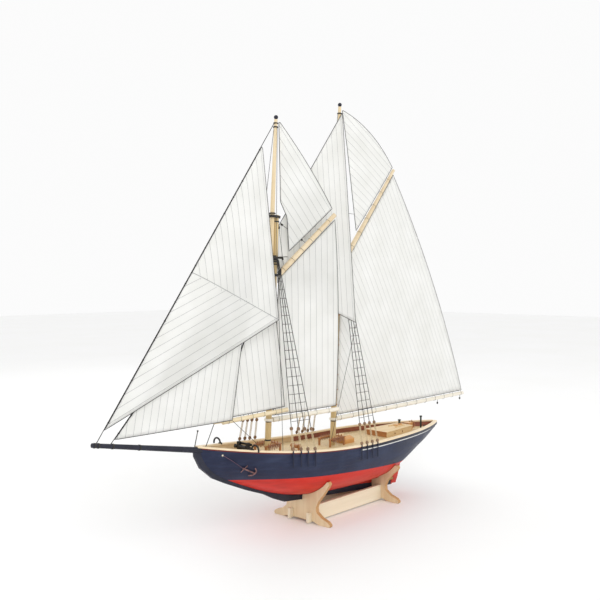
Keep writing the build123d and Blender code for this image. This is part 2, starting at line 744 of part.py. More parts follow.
shroud_sets = {
    "fore": (fore_mast_x, shroud_spread, fore_point, fore_hounds),
    "main": (main_mast_x, main_shroud_spread, main_point, main_hounds),
}
collar_levels = ((-1, 4.4), (1, 6.8))
eyes = []
cords = []
plates = []
nets = {"fore": [], "main": []}
for side, level in collar_levels:
    stub = deadeye_low - deadeye_radius - 0.15
    for mast_name, (foot_x, spread, point, hounds) in shroud_sets.items():
        feet = shroud_feet(foot_x, spread, side)
        nets[mast_name].append(shroud_net(feet, point, hounds, side, level))
        discs, laces = deadeye_group(feet, point, hounds, side, level)
        eyes += discs
        cords += laces
        for x, y, z in feet:
            low = z - chainplate_length
            plates.append(block(x, y, low, chainplate_width, chainplate_thickness, chainplate_length + stub))
for mast_name, pair in nets.items():
    save(Compound(children=pair), f"{mast_name}_shrouds")
save(Compound(children=eyes), "deadeyes")
save(Compound(children=cords), "lanyards")
save(Compound(children=plates), "chainplates")

# ---------------------------------------------------------------- topmast rigging and halyards
with BuildPart() as topmast_rigging:
    for point, hounds, height in ((fore_point, fore_hounds, 413.0), (main_point, main_hounds, 468.0)):
        up = Vector(*point(1)) - Vector(*point(0))
        top = ahead_point(point, height)
        add(ring(top, up, topmast_head_radius + 0.35, topmast_head_radius + 1.2, 1.4))
        for side in (-1, 1):
            foot = Vector(*point(hounds + 1.3)) + Vector(-topmast_offset - 5.6, side * 15.2, 0)
            head = Vector(*top) + Vector(0, side * (topmast_head_radius + 0.8), 0)
            add(spar(tuple(foot), tuple(head), thread))
save(Compound(children=[headstays.part, topmast_rigging.part]), "stays")


def halyards(plane, collar_height, spans):
    """Halyards from the masthead to a gaff, turning with it."""
    clear = masthead_radius + 0.2
    aside = -cloth / 2 - thread - seat
    with BuildPart() as group:
        add(ring(on(plane, 0, collar_height), plane.y_dir, clear, clear + 0.65, 1.6))
        for end in spans:
            add(spar(on(plane, clear + 0.3, collar_height, aside), on(plane, *end, aside), thread))
    return group.part


save(halyards(fore_plane, 291.5, [(45.0, 267.9), (13.5, 236.5)]), "fore_halyards")
save(halyards(main_plane, 329.5, [(62.0, 331.6), (13.5, 269.0)]), "main_halyards")


# ---------------------------------------------------------------- deck fittings
def deck_z(x):
    return rail_z(x) - deck_drop


def hull_side(x, z):
    """Half width of the planking at a height, read from the section's own curve."""
    points = section_points(x, 0.0, 0.0)
    return between([(height, y) for y, height in points], z)


under_deck = sheer_band(-60.0, -deck_drop)

bitt_x = -152.0
bitt_y = 8.0
bitt_width = 4.0
bitt_height = 15.0
barrel_height = 8.0
barrel_radius = 3.2
axle_radius = 1.2
axle_fit = 0.06
axle_z = deck_z(bitt_x) + barrel_height
with BuildPart() as windlass_bitts:
    for side in (-1, 1):
        add(block(bitt_x, side * bitt_y, deck_z(bitt_x) - 3, bitt_width, bitt_width, bitt_height + 3))
        add(block(bitt_x - 6, side * bitt_y, deck_z(bitt_x) - 3, 9, 1.6, 8))
    add(block(bitt_x + 3.0, 0, deck_z(bitt_x) + 11, 2.0, 2 * bitt_y + 8, 2.6))
    heads = windlass_bitts.faces().group_by(Axis.Z)[-1].edges()
    chamfer(heads, 0.6)
    axle_way = spar((bitt_x, -20, axle_z), (bitt_x, 20, axle_z), axle_radius + axle_fit)
    add(axle_way, mode=Mode.SUBTRACT)
    add(under_deck, mode=Mode.SUBTRACT)
save(windlass_bitts.part, "windlass_bitts")

drum_half = bitt_y - bitt_width / 2 - 0.3
barrel_profile = [(0, -15.0), (2.6, -15.0), (2.0, -12.8), (2.6, -10.4), (axle_radius, -10.4)]
barrel_profile += [(axle_radius, -drum_half), (barrel_radius, -drum_half), (barrel_radius - 0.5, 0)]
barrel_profile += [(barrel_radius, drum_half), (axle_radius, drum_half), (axle_radius, 10.4)]
barrel_profile += [(2.6, 10.4), (2.0, 12.8), (2.6, 15.0), (0, 15.0)]
with BuildPart() as windlass_barrel:
    with BuildSketch(Plane(origin=(bitt_x, 0, axle_z), x_dir=(1, 0, 0), z_dir=(0, 0, 1))):
        Polygon(*barrel_profile, align=None)
    revolve(axis=Axis((bitt_x, 0, axle_z), (0, 1, 0)))
save(windlass_barrel.part, "windlass_barrel")

pin_radius = 0.55
pin_length = 5.5
rail_height = 12.0


def fife_rail(x_start, x_end, half_width):
    """Four posts, two side rails and a cross rail round a mast."""
    base = deck_z(x_start) - 4
    top = deck_z((x_start + x_end) / 2) + rail_height
    middle = (x_start + x_end) / 2
    length = x_end - x_start
    with BuildPart() as rail:
        for x in (x_start, x_end):
            for side in (-1, 1):
                add(block(x, side * half_width, base, 2.2, 2.2, top - base))
        for side in (-1, 1):
            add(block(middle, side * half_width, top - 1.4, length + 4, 2.6, 1.4))
        add(block(x_end, 0, top - 1.4, 2.6, 2 * half_width, 1.4))
        for x, y in pin_places(x_start, x_end, half_width):
            add(spar((x, y, top - 3), (x, y, top + 3), pin_radius + 0.05), mode=Mode.SUBTRACT)
        add(under_deck, mode=Mode.SUBTRACT)
    return rail.part


def pin_places(x_start, x_end, half_width):
    """Where the belaying pins pass through a fife rail."""
    step = (x_end - x_start) / 6
    places = [(x_start + step * i, side * half_width) for i in (1, 2, 3, 4, 5) for side in (-1, 1)]
    return places + [(x_end, y) for y in (-5.0, 0.0, 5.0)]


def belaying_pin(x, y, top):
    """A turned pin that hangs in its hole by its collar."""
    with BuildPart() as pin:
        add(spar((x, y, top - pin_length + 2), (x, y, top + 0.05), pin_radius))
        add(spar((x, y, top + 0.05), (x, y, top + 2.6), pin_radius + 0.25, pin_radius - 0.1))
    return pin.part


fife_sets = [(fore_mast_x - 13, fore_mast_x + 13, 10.0), (main_mast_x - 17, main_mast_x + 13, 10.0)]
pins = []
rails = []
for x_start, x_end, half_width in fife_sets:
    rails.append(fife_rail(x_start, x_end, half_width))
    top = deck_z((x_start + x_end) / 2) + rail_height
    pins += [belaying_pin(x, y, top) for x, y in pin_places(x_start, x_end, half_width)]
save(Compound(children=rails), "fife_rails")
save(Compound(children=pins), "belaying_pins")

winch_x = -55.0
with BuildPart() as deck_winch:
    for side in (-1, 1):
        add(block(winch_x, side * 6, deck_z(winch_x) - 2, 5, 1.6, 11))
    winch_z = deck_z(winch_x) + 5.5
    add(spar((winch_x, -9.5, winch_z), (winch_x, 9.5, winch_z), 1.6))
    add(spar((winch_x, -4.0, winch_z), (winch_x, 4.0, winch_z), 2.6))
    add(under_deck, mode=Mode.SUBTRACT)
save(deck_winch.part, "deck_winch")

skylight_x = 50.0
skylight_length = 20.0
skylight_width = 16.0
with BuildPart() as skylight:
    base = deck_z(skylight_x)
    with BuildSketch(Plane.YZ.offset(skylight_x - skylight_length / 2)):
        half = skylight_width / 2
        Polygon((-half, base - 3), (half, base - 3), (half, base + 6), (0, base + 9.5), (-half, base + 6),
                align=None)
    extrude(amount=skylight_length)
    add(under_deck, mode=Mode.SUBTRACT)
    for side in (-1, 1):
        for dx in (-5, 5):
            pane = Plane(origin=(skylight_x + dx, side * 4.2, base + 8.0), z_dir=(0, side * 0.4, 1))
            with BuildSketch(pane):
                Rectangle(7, 4.6)
            extrude(amount=3, mode=Mode.SUBTRACT)
save(skylight.part, "skylight")

dory_x = 62.0
dory_y = 26.0
with BuildPart() as dory:
    with BuildSketch(Plane.XY.offset(deck_z(dory_x) - 1.0)):
        with Locations((dory_x, dory_y)):
            Ellipse(19, 6.4)
    extrude(amount=7.5, taper=24)
    add(under_deck, mode=Mode.SUBTRACT)
save(dory.part, "dory")

trunk_start = 122.0
trunk_end = 196.0
trunk_height = 9.0
roof_thickness = 1.4
hatch_x = 180.0
hatch_length = 12.0
hatch_width = 10.0
roof_z = deck_z(trunk_end) + trunk_height


def trunk_outline(grow):
    """Plan of the cabin trunk, a little narrower aft."""
    return [(trunk_start - grow, -20.0 - grow), (trunk_end + grow, -14.0 - grow),
            (trunk_end + grow, 14.0 + grow), (trunk_start - grow, 20.0 + grow)]


with BuildPart() as cabin_trunk:
    with BuildSketch(Plane.XY.offset(deck_z(trunk_end) - 3)):
        Polygon(*trunk_outline(0), align=None)
    extrude(amount=trunk_height + 3)
    with BuildSketch(Plane.XY.offset(deck_z(trunk_end) - 3)):
        Polygon(*trunk_outline(-2.2), align=None)
    extrude(amount=trunk_height + 3 - weld, mode=Mode.SUBTRACT)
    with BuildSketch(Plane.XY.offset(roof_z - weld)):
        Polygon(*trunk_outline(1.0), align=None)
    extrude(amount=roof_thickness)
    add(block(hatch_x, 0, roof_z - 1, hatch_length - 2, hatch_width - 3, 6), mode=Mode.SUBTRACT)
    for side in (-1, 1):
        runner = block(hatch_x - 5, side * (hatch_width / 2 + 0.9), roof_z + roof_thickness - weld, 24, 1.2, 1.2)
        add(runner)
        for x in (146.0, 168.0):
            port_z = roof_z - 4.2
            add(spar((x, side * 10, port_z), (x, side * 24, port_z), 1.5), mode=Mode.SUBTRACT)
    add(under_deck, mode=Mode.SUBTRACT)
save(cabin_trunk.part, "cabin_trunk")

hatch_z = roof_z + roof_thickness + 0.06
with BuildPart() as companion_slide:
    add(block(hatch_x, 0, hatch_z, hatch_length, hatch_width + 0.5, 1.3))
    add(block(hatch_x + hatch_length / 2 - 1, 0, hatch_z + 1.3, 1.2, 5, 0.8))
save(companion_slide.part, "companion_slide")

wheel_x = 216.0
box_x = 207.5
wheel_z = deck_z(wheel_x) + 8.0
wheel_axle = 0.8
with BuildPart() as wheel_box:
    add(block(box_x, 0, deck_z(box_x) - 3, 9, 9, 13.5))
    add(block(box_x, 0, deck_z(box_x) + 10.5, 10.4, 10.4, 1.0))
    bore = spar((box_x + 1, 0, wheel_z), (box_x + 8, 0, wheel_z), wheel_axle + axle_fit)
    add(bore, mode=Mode.SUBTRACT)
    add(under_deck, mode=Mode.SUBTRACT)
save(wheel_box.part, "wheel_box")

with BuildPart() as steering_wheel:
    add(ring((wheel_x, 0, wheel_z), (1, 0, 0), 4.6, 5.7, 1.2))
    add(spar((wheel_x - 0.9, 0, wheel_z), (wheel_x + 0.9, 0, wheel_z), 1.5))
    for i in range(8):
        turn = math.radians(45 * i)
        tip = (wheel_x, 7.2 * math.cos(turn), wheel_z + 7.2 * math.sin(turn))
        add(spar((wheel_x, 0, wheel_z), tip, 0.42))
    add(spar((box_x + 1.4, 0, wheel_z), (wheel_x, 0, wheel_z), wheel_axle))
save(steering_wheel.part, "steering_wheel")

post_x = 242.0
post_top = 104.0
stern_bitt_x = 232.0
bow_bitt_x = -196.0
small_bitt = 3.0
chimney_x = 191.0
chimney_y = 6.0
chimney_height = 5.5
with BuildPart() as stern_fittings:
    add(spar((post_x, 0, deck_z(post_x) - 3), (post_x, 0, post_top), 1.4))
    add(spar((post_x, 0, post_top), (post_x, 0, post_top + 2), 2.1))
    for side in (-1, 1):
        add(block(stern_bitt_x, side * 14.0, deck_z(stern_bitt_x) - 3, small_bitt, small_bitt, 9.5))
        add(block(bow_bitt_x, side * 9.0, deck_z(bow_bitt_x) - 3, small_bitt, small_bitt, 10.0))
    add(under_deck, mode=Mode.SUBTRACT)
    chimney_z = roof_z + roof_thickness
    chimney_top = chimney_z + chimney_height
    add(spar((chimney_x, chimney_y, chimney_z), (chimney_x, chimney_y, chimney_top), 1.7))
    add(spar((chimney_x, chimney_y, chimney_top), (chimney_x, chimney_y, chimney_top + 1.5), 2.4))
save(stern_fittings.part, "stern_fittings")

# ---------------------------------------------------------------- ground tackle
cathead_x = -165.0
catheads = []
anchor_parts = []
cables = []
for side in (-1, 1):
    edge_y = half_breadth(cathead_x)
    foot_z = rail_z(cathead_x) + rail_thickness
    with BuildPart() as cathead:
        with BuildLine() as arc:
            ThreePointArc((cathead_x, side * (edge_y - 3), foot_z + 0.6),
                          (cathead_x, side * (edge_y + 3.4), foot_z + 6.5),
                          (cathead_x, side * (edge_y + 8.5), foot_z - 1.0))
        with BuildSketch(Plane(origin=arc.line @ 0, z_dir=arc.line % 0)):
            Circle(1.1)
        sweep()
        add(block(cathead_x, side * (edge_y - 3), foot_z - 1, 4, 3.4, 2.2))
        add(rail_cap.part, mode=Mode.SUBTRACT)
    catheads.append(cathead.part)
    ring_at = (-175.0, 97.5)
    crown_at = (-157.5, 88.5)
    shank_a = (ring_at[0], side * (hull_side(*ring_at) + 2.6), ring_at[1])
    shank_b = (crown_at[0], side * (hull_side(*crown_at) + 2.6), crown_at[1])
    along = (Vector(*shank_b) - Vector(*shank_a)).normalized()
    rise = 5.0
    flare = hull_side(crown_at[0], crown_at[1] + rise) - hull_side(crown_at[0], crown_at[1] - rise)
    cross = Vector(0, side * flare, 2 * rise)
    cross = (cross - along * cross.dot(along)).normalized()
    with BuildPart() as anchor:
        add(spar(shank_a, shank_b, 0.9))
        for turn in (-1, 1):
            elbow = Vector(*shank_b) + cross * (4.4 * turn) - along * 1.6
            tip = Vector(*shank_b) + cross * (7.0 * turn) - along * 5.6
            add(line_of([shank_b, tuple(elbow), tuple(tip)], 0.8))
            stock = Vector(*shank_a) + along * 2.4
            add(spar(tuple(stock), tuple(stock + cross * (6.5 * turn)), 0.6))
    anchor_parts.append(anchor.part)
    hawse = (-200.0, side * (hull_side(-200.0, 116.0) + 0.9), 116.0)
    cable_end = tuple(Vector(*shank_a) - along * 0.2)
    middle_at = (-188.0, 107.5)
    middle = (middle_at[0], side * (hull_side(*middle_at) + 1.3), middle_at[1])
    cables.append(line_of([hawse, middle, cable_end], 0.4))
save(Compound(children=catheads), "catheads")
save(Compound(children=anchor_parts), "anchors")
with BuildPart() as anchor_cables:
    for cable in cables:
        add(cable)
    for anchor in anchor_parts:
        add(anchor, mode=Mode.SUBTRACT)
save(anchor_cables.part, "anchor_cables")

# ---------------------------------------------------------------- sheets that hold the fixed sails
with BuildPart() as sheets:
    fish_clew = (fish_leech_x + 0.9, fish_leech[0][0] - 0.4, fish_leech[0][1] - 0.6)
    add(line_of([fish_clew, (main_mast_x - 17 + 0.3, -11.9, deck_z(main_mast_x) + 12.5)], thread))
    jib_clew = on(jib_plane, 116.3, 112.6)
    add(line_of([jib_clew, (fore_mast_x - 13, 7.0, deck_z(-122) + 11.5)], thread))
    topsail_clew = on(jib_topsail_plane, 139.7, 246.5)
    add(line_of([topsail_clew, (-124.0, -half_breadth(-124.0) + 3, rail_z(-124.0) + rail_thickness + 0.2)], thread))
save(sheets.part, "sheets")
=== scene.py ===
"""Looks of the model schooner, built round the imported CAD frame. Metres; +X aft, +Y starboard, +Z up."""

import math
import random

import bmesh
import bpy
from mathutils import Matrix, Vector
from mathutils.bvhtree import BVHTree


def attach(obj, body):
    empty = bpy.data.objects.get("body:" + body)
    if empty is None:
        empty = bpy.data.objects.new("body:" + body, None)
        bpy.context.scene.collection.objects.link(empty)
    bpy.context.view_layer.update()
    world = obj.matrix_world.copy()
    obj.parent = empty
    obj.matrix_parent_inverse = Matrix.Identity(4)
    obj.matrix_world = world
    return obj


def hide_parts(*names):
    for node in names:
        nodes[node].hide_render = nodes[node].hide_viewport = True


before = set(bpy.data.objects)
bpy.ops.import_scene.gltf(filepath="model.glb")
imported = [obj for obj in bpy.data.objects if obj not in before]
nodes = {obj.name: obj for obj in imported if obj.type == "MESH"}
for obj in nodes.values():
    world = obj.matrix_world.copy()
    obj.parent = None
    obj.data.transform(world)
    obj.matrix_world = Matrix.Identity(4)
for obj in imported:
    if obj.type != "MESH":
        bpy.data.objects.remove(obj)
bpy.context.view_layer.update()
MM = 0.001


def add_object(name, data):
    """A new object in the scene for some mesh, curve, lamp or camera data."""
    made = bpy.data.objects.new(name, data)
    bpy.context.scene.collection.objects.link(made)
    return made


# ---------------------------------------------------------------- camera, light and floor
CAMERA_PLACE = (-0.8346, -0.7216, 0.3263)
CAMERA_AHEAD = (0.7371, 0.6754, -0.0260)
CAMERA_UP = (0.0192, 0.0176, 0.9998)
CAMERA_LENS = 47.75
SENSOR_WIDTH = 36.0
FLOOR_HALF = 6.0
FLOOR_DROP = 0.0002
SKY_STRENGTH = 0.97
# name, place, point aimed at, side in metres, power in watts
LAMPS = (
    ("key", (-1.3, -1.5, 1.5), (0.0, 0.0, 0.2), 1.2, 11.0),
    ("fill", (0.9, -1.4, 0.7), (0.0, 0.0, 0.2), 1.0, 3.0),
    ("rim", (0.5, 1.5, 1.3), (0.0, 0.0, 0.3), 1.0, 3.0),
)


def build_camera():
    """The view from off the port bow, a little above the deck."""
    ahead = Vector(CAMERA_AHEAD).normalized()
    right = ahead.cross(Vector(CAMERA_UP)).normalized()
    up = right.cross(ahead)
    turn = Matrix((right, up, -ahead)).transposed()
    data = bpy.data.cameras.new("camera")
    data.sensor_width = SENSOR_WIDTH
    data.lens = CAMERA_LENS
    data.clip_start = 0.01
    camera = add_object("camera", data)
    camera.matrix_world = Matrix.Translation(Vector(CAMERA_PLACE)) @ turn.to_4x4()
    bpy.context.scene.camera = camera


def area_light(name, place, target, side, power):
    """A large soft lamp aimed at a point."""
    data = bpy.data.lights.new(name, "AREA")
    data.shape = "RECTANGLE"
    data.size = side
    data.size_y = side
    data.energy = power
    lamp = add_object(name, data)
    aim = (Vector(target) - Vector(place)).to_track_quat("-Z", "Y")
    lamp.matrix_world = Matrix.Translation(Vector(place)) @ aim.to_matrix().to_4x4()


def build_studio():
    """A pale floor, a white surround and three soft lamps."""
    world = bpy.data.worlds.new("studio")
    world.use_nodes = True
    background = world.node_tree.nodes["Background"]
    background.inputs["Color"].default_value = (1.0, 1.0, 1.0, 1.0)
    background.inputs["Strength"].default_value = SKY_STRENGTH
    bpy.context.scene.world = world
    for lamp in LAMPS:
        area_light(*lamp)
    mesh = bpy.data.meshes.new("floor")
    corners = [(x * FLOOR_HALF, y * FLOOR_HALF, 0) for x, y in ((-1, -1), (1, -1), (1, 1), (-1, 1))]
    mesh.from_pydata(corners, [], [(0, 1, 2, 3)])
    floor = add_object("floor", mesh)
    floor.location.z = -FLOOR_DROP
    mesh.materials.append(floor_material())
    bpy.context.scene.view_settings.view_transform = "Standard"


# ---------------------------------------------------------------- material tools
class Shader:
    """Short names for building one node material."""

    def __init__(self, name, roughness=0.5, **fixed):
        self.material = bpy.data.materials.new(name)
        self.material.use_nodes = True
        self.tree = self.material.node_tree
        self.surface = self.tree.nodes["Principled BSDF"]
        self.surface.inputs["Roughness"].default_value = roughness
        for key, value in fixed.items():
            self.surface.inputs[key.replace("_", " ")].default_value = value
        self.place = self.tree.nodes.new("ShaderNodeTexCoord").outputs["Object"]

    def link(self, source, target):
        self.tree.links.new(source, target)

    def math(self, kind, a, b=0.0, c=0.0):
        node = self.tree.nodes.new("ShaderNodeMath")
        node.operation = kind
        for slot, value in zip(node.inputs, (a, b, c)):
            if isinstance(value, (int, float)):
                slot.default_value = value
            else:
                self.link(value, slot)
        return node.outputs[0]

    def axes(self, source=None):
        node = self.tree.nodes.new("ShaderNodeSeparateXYZ")
        self.link(source or self.place, node.inputs[0])
        return node.outputs[0], node.outputs[1], node.outputs[2]

    def stretched(self, scale):
        """Object coordinates scaled along each axis, for grain and streaks."""
        node = self.tree.nodes.new("ShaderNodeMapping")
        node.inputs["Scale"].default_value = scale
        self.link(self.place, node.inputs["Vector"])
        return node.outputs[0]

    def noise(self, scale, detail=4.0, vector=None, roughness=0.55):
        node = self.tree.nodes.new("ShaderNodeTexNoise")
        node.inputs["Scale"].default_value = scale
        node.inputs["Detail"].default_value = detail
        node.inputs["Roughness"].default_value = roughness
        self.link(vector or self.place, node.inputs["Vector"])
        return node.outputs["Fac"]

    def ramp(self, value, stops):
        """Colours along a value; stops are (position, (r, g, b))."""
        node = self.tree.nodes.new("ShaderNodeValToRGB")
        band = node.color_ramp
        while len(band.elements) < len(stops):
            band.elements.new(0.5)
        for element, (position, colour) in zip(band.elements, stops):
            element.position = position
            element.color = (*colour, 1.0)
        self.link(value, node.inputs[0])
        return node.outputs["Color"]

    def mix(self, amount, first, second):
        """Blend of two colours by a factor."""
        node = self.tree.nodes.new("ShaderNodeMix")
        node.data_type = "RGBA"
        for slot, value in ((node.inputs[0], amount), (node.inputs[6], first), (node.inputs[7], second)):
            if isinstance(value, tuple):
                slot.default_value = (*value, 1.0)
            elif isinstance(value, (int, float)):
                slot.default_value = value
            else:
                self.link(value, slot)
        return node.outputs[2]

    def line(self, value, pitch, width):
        """1 on thin lines every pitch of a value, 0 elsewhere."""
        wave = self.math("PINGPONG", value, pitch / 2)
        return self.math("LESS_THAN", wave, width / 2)

    def band(self, value, low, high):
        """1 where a value lies between two bounds."""
        over = self.math("GREATER_THAN", value, low)
        under = self.math("LESS_THAN", value, high)
        return self.math("MULTIPLY", over, under)

    def colour(self, source):
        self.link(source, self.surface.inputs["Base Color"])

    def roughness(self, value, stops):
        """Roughness along a value; stops are (position, roughness)."""
        grey = self.ramp(value, [(position, (level,) * 3) for position, level in stops])
        self.link(grey, self.surface.inputs["Roughness"])

    def bump(self, height, strength, distance):
        node = self.tree.nodes.new("ShaderNodeBump")
        node.inputs["Strength"].default_value = strength
        node.inputs["Distance"].default_value = distance
        self.link(height, node.inputs["Height"])
        self.link(node.outputs[0], self.surface.inputs["Normal"])

    def facing(self):
        """The three parts of the surface's direction."""
        geometry = self.tree.nodes.new("ShaderNodeNewGeometry")
        return self.axes(geometry.outputs["Normal"])


def floor_material():
    shader = Shader("floor_paper", 0.7)
    shader.colour(shader.ramp(shader.noise(3.0), [(0.3, (0.93, 0.93, 0.92)), (0.7, (0.95, 0.95, 0.95))]))
    return shader.material


# ---------------------------------------------------------------- paint on the hull
# The sheer line: it rises towards the bow ahead of BREAK_X, and falls a little behind it.
HULL_LENGTH = 0.510
STEM_X = -0.229
BREAK_SHARE = 0.607
AHEAD_SPAN = BREAK_SHARE * HULL_LENGTH
AFT_SPAN = HULL_LENGTH - AHEAD_SPAN
BREAK_X = STEM_X + AHEAD_SPAN
BREAK_Z = 0.0984
BOW_RISE = 0.0293
STERN_FALL = 0.0064
STERN_POWER = 1.4
WATERLINE_SLOPE = 0.0747


def below_rail(shader):
    """How far a point lies below the sheer line, in metres, and its x."""
    x, _, z = shader.axes()
    ahead = shader.math("DIVIDE", shader.math("SUBTRACT", BREAK_X, x), AHEAD_SPAN)
    ahead = shader.math("MAXIMUM", ahead, 0.0)
    behind = shader.math("DIVIDE", shader.math("SUBTRACT", x, BREAK_X), AFT_SPAN)
    behind = shader.math("MAXIMUM", behind, 0.0)
    rise = shader.math("MULTIPLY", shader.math("POWER", ahead, 2.0), BOW_RISE)
    fall = shader.math("MULTIPLY", shader.math("POWER", behind, STERN_POWER), STERN_FALL)
    rail = shader.math("SUBTRACT", shader.math("ADD", rise, BREAK_Z), fall)
    return shader.math("SUBTRACT", rail, z), x


def topside_material():
    """Brushed navy paint over strakes, with the white quarter line and the red line at the bow."""
    strake = 4.6 * MM
    line_start = 12 * MM
    shader = Shader("navy_planking", 0.5, Specular_IOR_Level=0.22)
    depth, x = below_rail(shader)
    streaks = shader.noise(60.0, 6.0, shader.stretched((0.35, 1.0, 2.2)))
    patches = shader.noise(22.0, 4.0, shader.stretched((1.0, 1.0, 0.6)))
    paint = shader.ramp(streaks, [(0.25, (0.008, 0.011, 0.032)), (0.5, (0.016, 0.022, 0.056)),
                                  (0.8, (0.045, 0.060, 0.115))])
    worn = shader.ramp(patches, [(0.35, (0.012, 0.016, 0.042)), (0.75, (0.045, 0.060, 0.112))])
    paint = shader.mix(0.4, paint, worn)
    seams = shader.line(depth, strake, 0.28 * MM)
    paint = shader.mix(shader.math("MULTIPLY", seams, 0.55), paint, (0.006, 0.008, 0.02))
    aft = shader.math("GREATER_THAN", x, line_start)
    white = shader.math("MULTIPLY", shader.band(depth, 4.1 * MM, 5.6 * MM), aft)
    paint = shader.mix(white, paint, (0.82, 0.82, 0.80))
    fore = shader.math("SUBTRACT", 1.0, aft)
    red = shader.math("MULTIPLY", shader.band(depth, -1.0 * MM, 1.6 * MM), fore)
    paint = shader.mix(red, paint, (0.16, 0.025, 0.02))
    shader.colour(inside_wood(shader, paint))
    shader.roughness(streaks, [(0.3, 0.34), (0.8, 0.6)])
    relief = shader.math("SUBTRACT", shader.math("MULTIPLY", streaks, 0.35), seams)
    shader.bump(relief, 0.5, 0.25 * MM)
    return shader.material


def inside_wood(shader, paint):
    """Wood on the inside of the bulwark, pale forward and red-brown aft, picked by the face's direction."""
    x, y, _ = shader.axes()
    _, normal_y, _ = shader.facing()
    inward = shader.math("LESS_THAN", shader.math("MULTIPLY", y, normal_y), 0.0)
    grain = shader.noise(90.0, 5.0, shader.stretched((0.2, 1.0, 2.0)))
    fore_wood = shader.ramp(grain, [(0.3, (0.55, 0.38, 0.20)), (0.7, (0.72, 0.55, 0.33))])
    aft_wood = shader.ramp(grain, [(0.3, (0.20, 0.06, 0.035)), (0.7, (0.34, 0.12, 0.07))])
    wood = shader.mix(shader.math("GREATER_THAN", x, 0.0), fore_wood, aft_wood)
    return shader.mix(inward, paint, wood)


def bottom_material():
    """Red bottom paint, satin, with faint strakes and rubbed patches."""
    strake = 5.2 * MM
    shader = Shader("red_bottom", 0.45, Specular_IOR_Level=0.25)
    streaks = shader.noise(50.0, 6.0, shader.stretched((0.4, 1.0, 2.0)))
    paint = shader.ramp(streaks, [(0.25, (0.48, 0.016, 0.009)), (0.55, (0.62, 0.024, 0.013)),
                                  (0.85, (0.70, 0.055, 0.03))])
    x, _, z = shader.axes()
    level = shader.math("ADD", z, shader.math("MULTIPLY", x, WATERLINE_SLOPE))
    seams = shader.line(level, strake, 0.25 * MM)
    paint = shader.mix(shader.math("MULTIPLY", seams, 0.28), paint, (0.25, 0.012, 0.01))
    shader.colour(paint)
    shader.bump(shader.math("SUBTRACT", shader.math("MULTIPLY", streaks, 0.3), seams), 0.4, 0.2 * MM)
    return shader.material


def painted_material(name, dark, light, roughness=0.4):
    """Plain paint or varnish with brush marks and rubbed places."""
    shader = Shader(name, roughness, Specular_IOR_Level=0.25)
    marks = shader.noise(140.0, 5.0, shader.stretched((0.5, 1.0, 1.0)))
    patches = shader.noise(35.0, 3.0)
    brushed = shader.ramp(marks, [(0.3, dark), (0.75, light)])
    rubbed = shader.ramp(patches, [(0.35, dark), (0.7, light)])
    shader.colour(shader.mix(0.5, brushed, rubbed))
    shader.roughness(patches, [(0.3, roughness * 0.8), (0.8, roughness * 1.3)])
    shader.bump(marks, 0.3, 0.12 * MM)
    return shader.material


# ---------------------------------------------------------------- wood, metal, thread and cloth
ALONG = 0
UPRIGHT = 2
BLACKENED = (0.02, 0.018, 0.018)


def wood_material(name, dark, light, grain_axis=ALONG, roughness=0.45, extra=None):
    """Varnished wood whose grain runs along one axis; extra paints over its colour."""
    shader = Shader(name, roughness)
    scale = [2.2, 2.2, 2.2]
    scale[grain_axis] = 0.12
    grain = shader.noise(90.0, 7.0, shader.stretched(tuple(scale)), 0.62)
    broad = shader.noise(30.0, 3.0, shader.stretched(tuple(0.5 * s for s in scale)))
    tone = shader.mix(0.35, shader.ramp(grain, [(0.28, dark), (0.7, light)]),
                      shader.ramp(broad, [(0.3, dark), (0.65, light)]))
    if extra:
        tone = extra(shader, tone)
    shader.colour(tone)
    shader.roughness(grain, [(0.2, roughness * 1.25), (0.8, roughness * 0.85)])
    shader.bump(grain, 0.3, 0.12 * MM)
    return shader.material


def deck_planks(shader, tone):
    """Caulked seams between narrow planks, and staggered butts."""
    plank = 3.4 * MM
    butt_pitch = 60 * MM
    seam_width = 0.5 * MM
    x, y, _ = shader.axes()
    strip = shader.math("FLOOR", shader.math("DIVIDE", y, plank))
    shift = shader.math("MULTIPLY", shader.math("FRACT", shader.math("MULTIPLY", strip, 0.381)), butt_pitch)
    seams = shader.line(y, plank, seam_width)
    butts = shader.line(shader.math("ADD", x, shift), butt_pitch, seam_width)
    lines = shader.math("MAXIMUM", seams, butts)
    shade = shader.math("FRACT", shader.math("MULTIPLY", strip, 0.617))
    tone = shader.mix(shader.math("MULTIPLY", shade, 0.22), tone, (0.62, 0.42, 0.20))
    return shader.mix(shader.math("MULTIPLY", lines, 0.72), tone, (0.16, 0.09, 0.04))


def cut_edges(shader, tone):
    """Browned plies on the edges of a plate that lies across the ship."""
    x, _, _ = shader.axes()
    across, _, _ = shader.facing()
    flat = shader.math("GREATER_THAN", shader.math("ABSOLUTE", across), 0.7)
    plies = shader.line(x, 1.3 * MM, 0.55 * MM)
    burnt = shader.mix(plies, (0.60, 0.36, 0.15), (0.40, 0.20, 0.07))
    return shader.mix(flat, burnt, tone)


def brown_front(shader, tone):
    """Varnished brown on the faces that look forward or aft."""
    along_ship, _, _ = shader.facing()
    ends = shader.math("GREATER_THAN", shader.math("ABSOLUTE", along_ship), 0.8)
    return shader.mix(ends, tone, (0.42, 0.17, 0.05))


def mast_bands(heights):
    """Dark iron bands round a mast, each (low, high) in millimetres."""
    def paint(shader, tone):
        _, _, z = shader.axes()
        for low, high in heights:
            tone = shader.mix(shader.band(z, low * MM, high * MM), tone, BLACKENED)
        return tone
    return paint


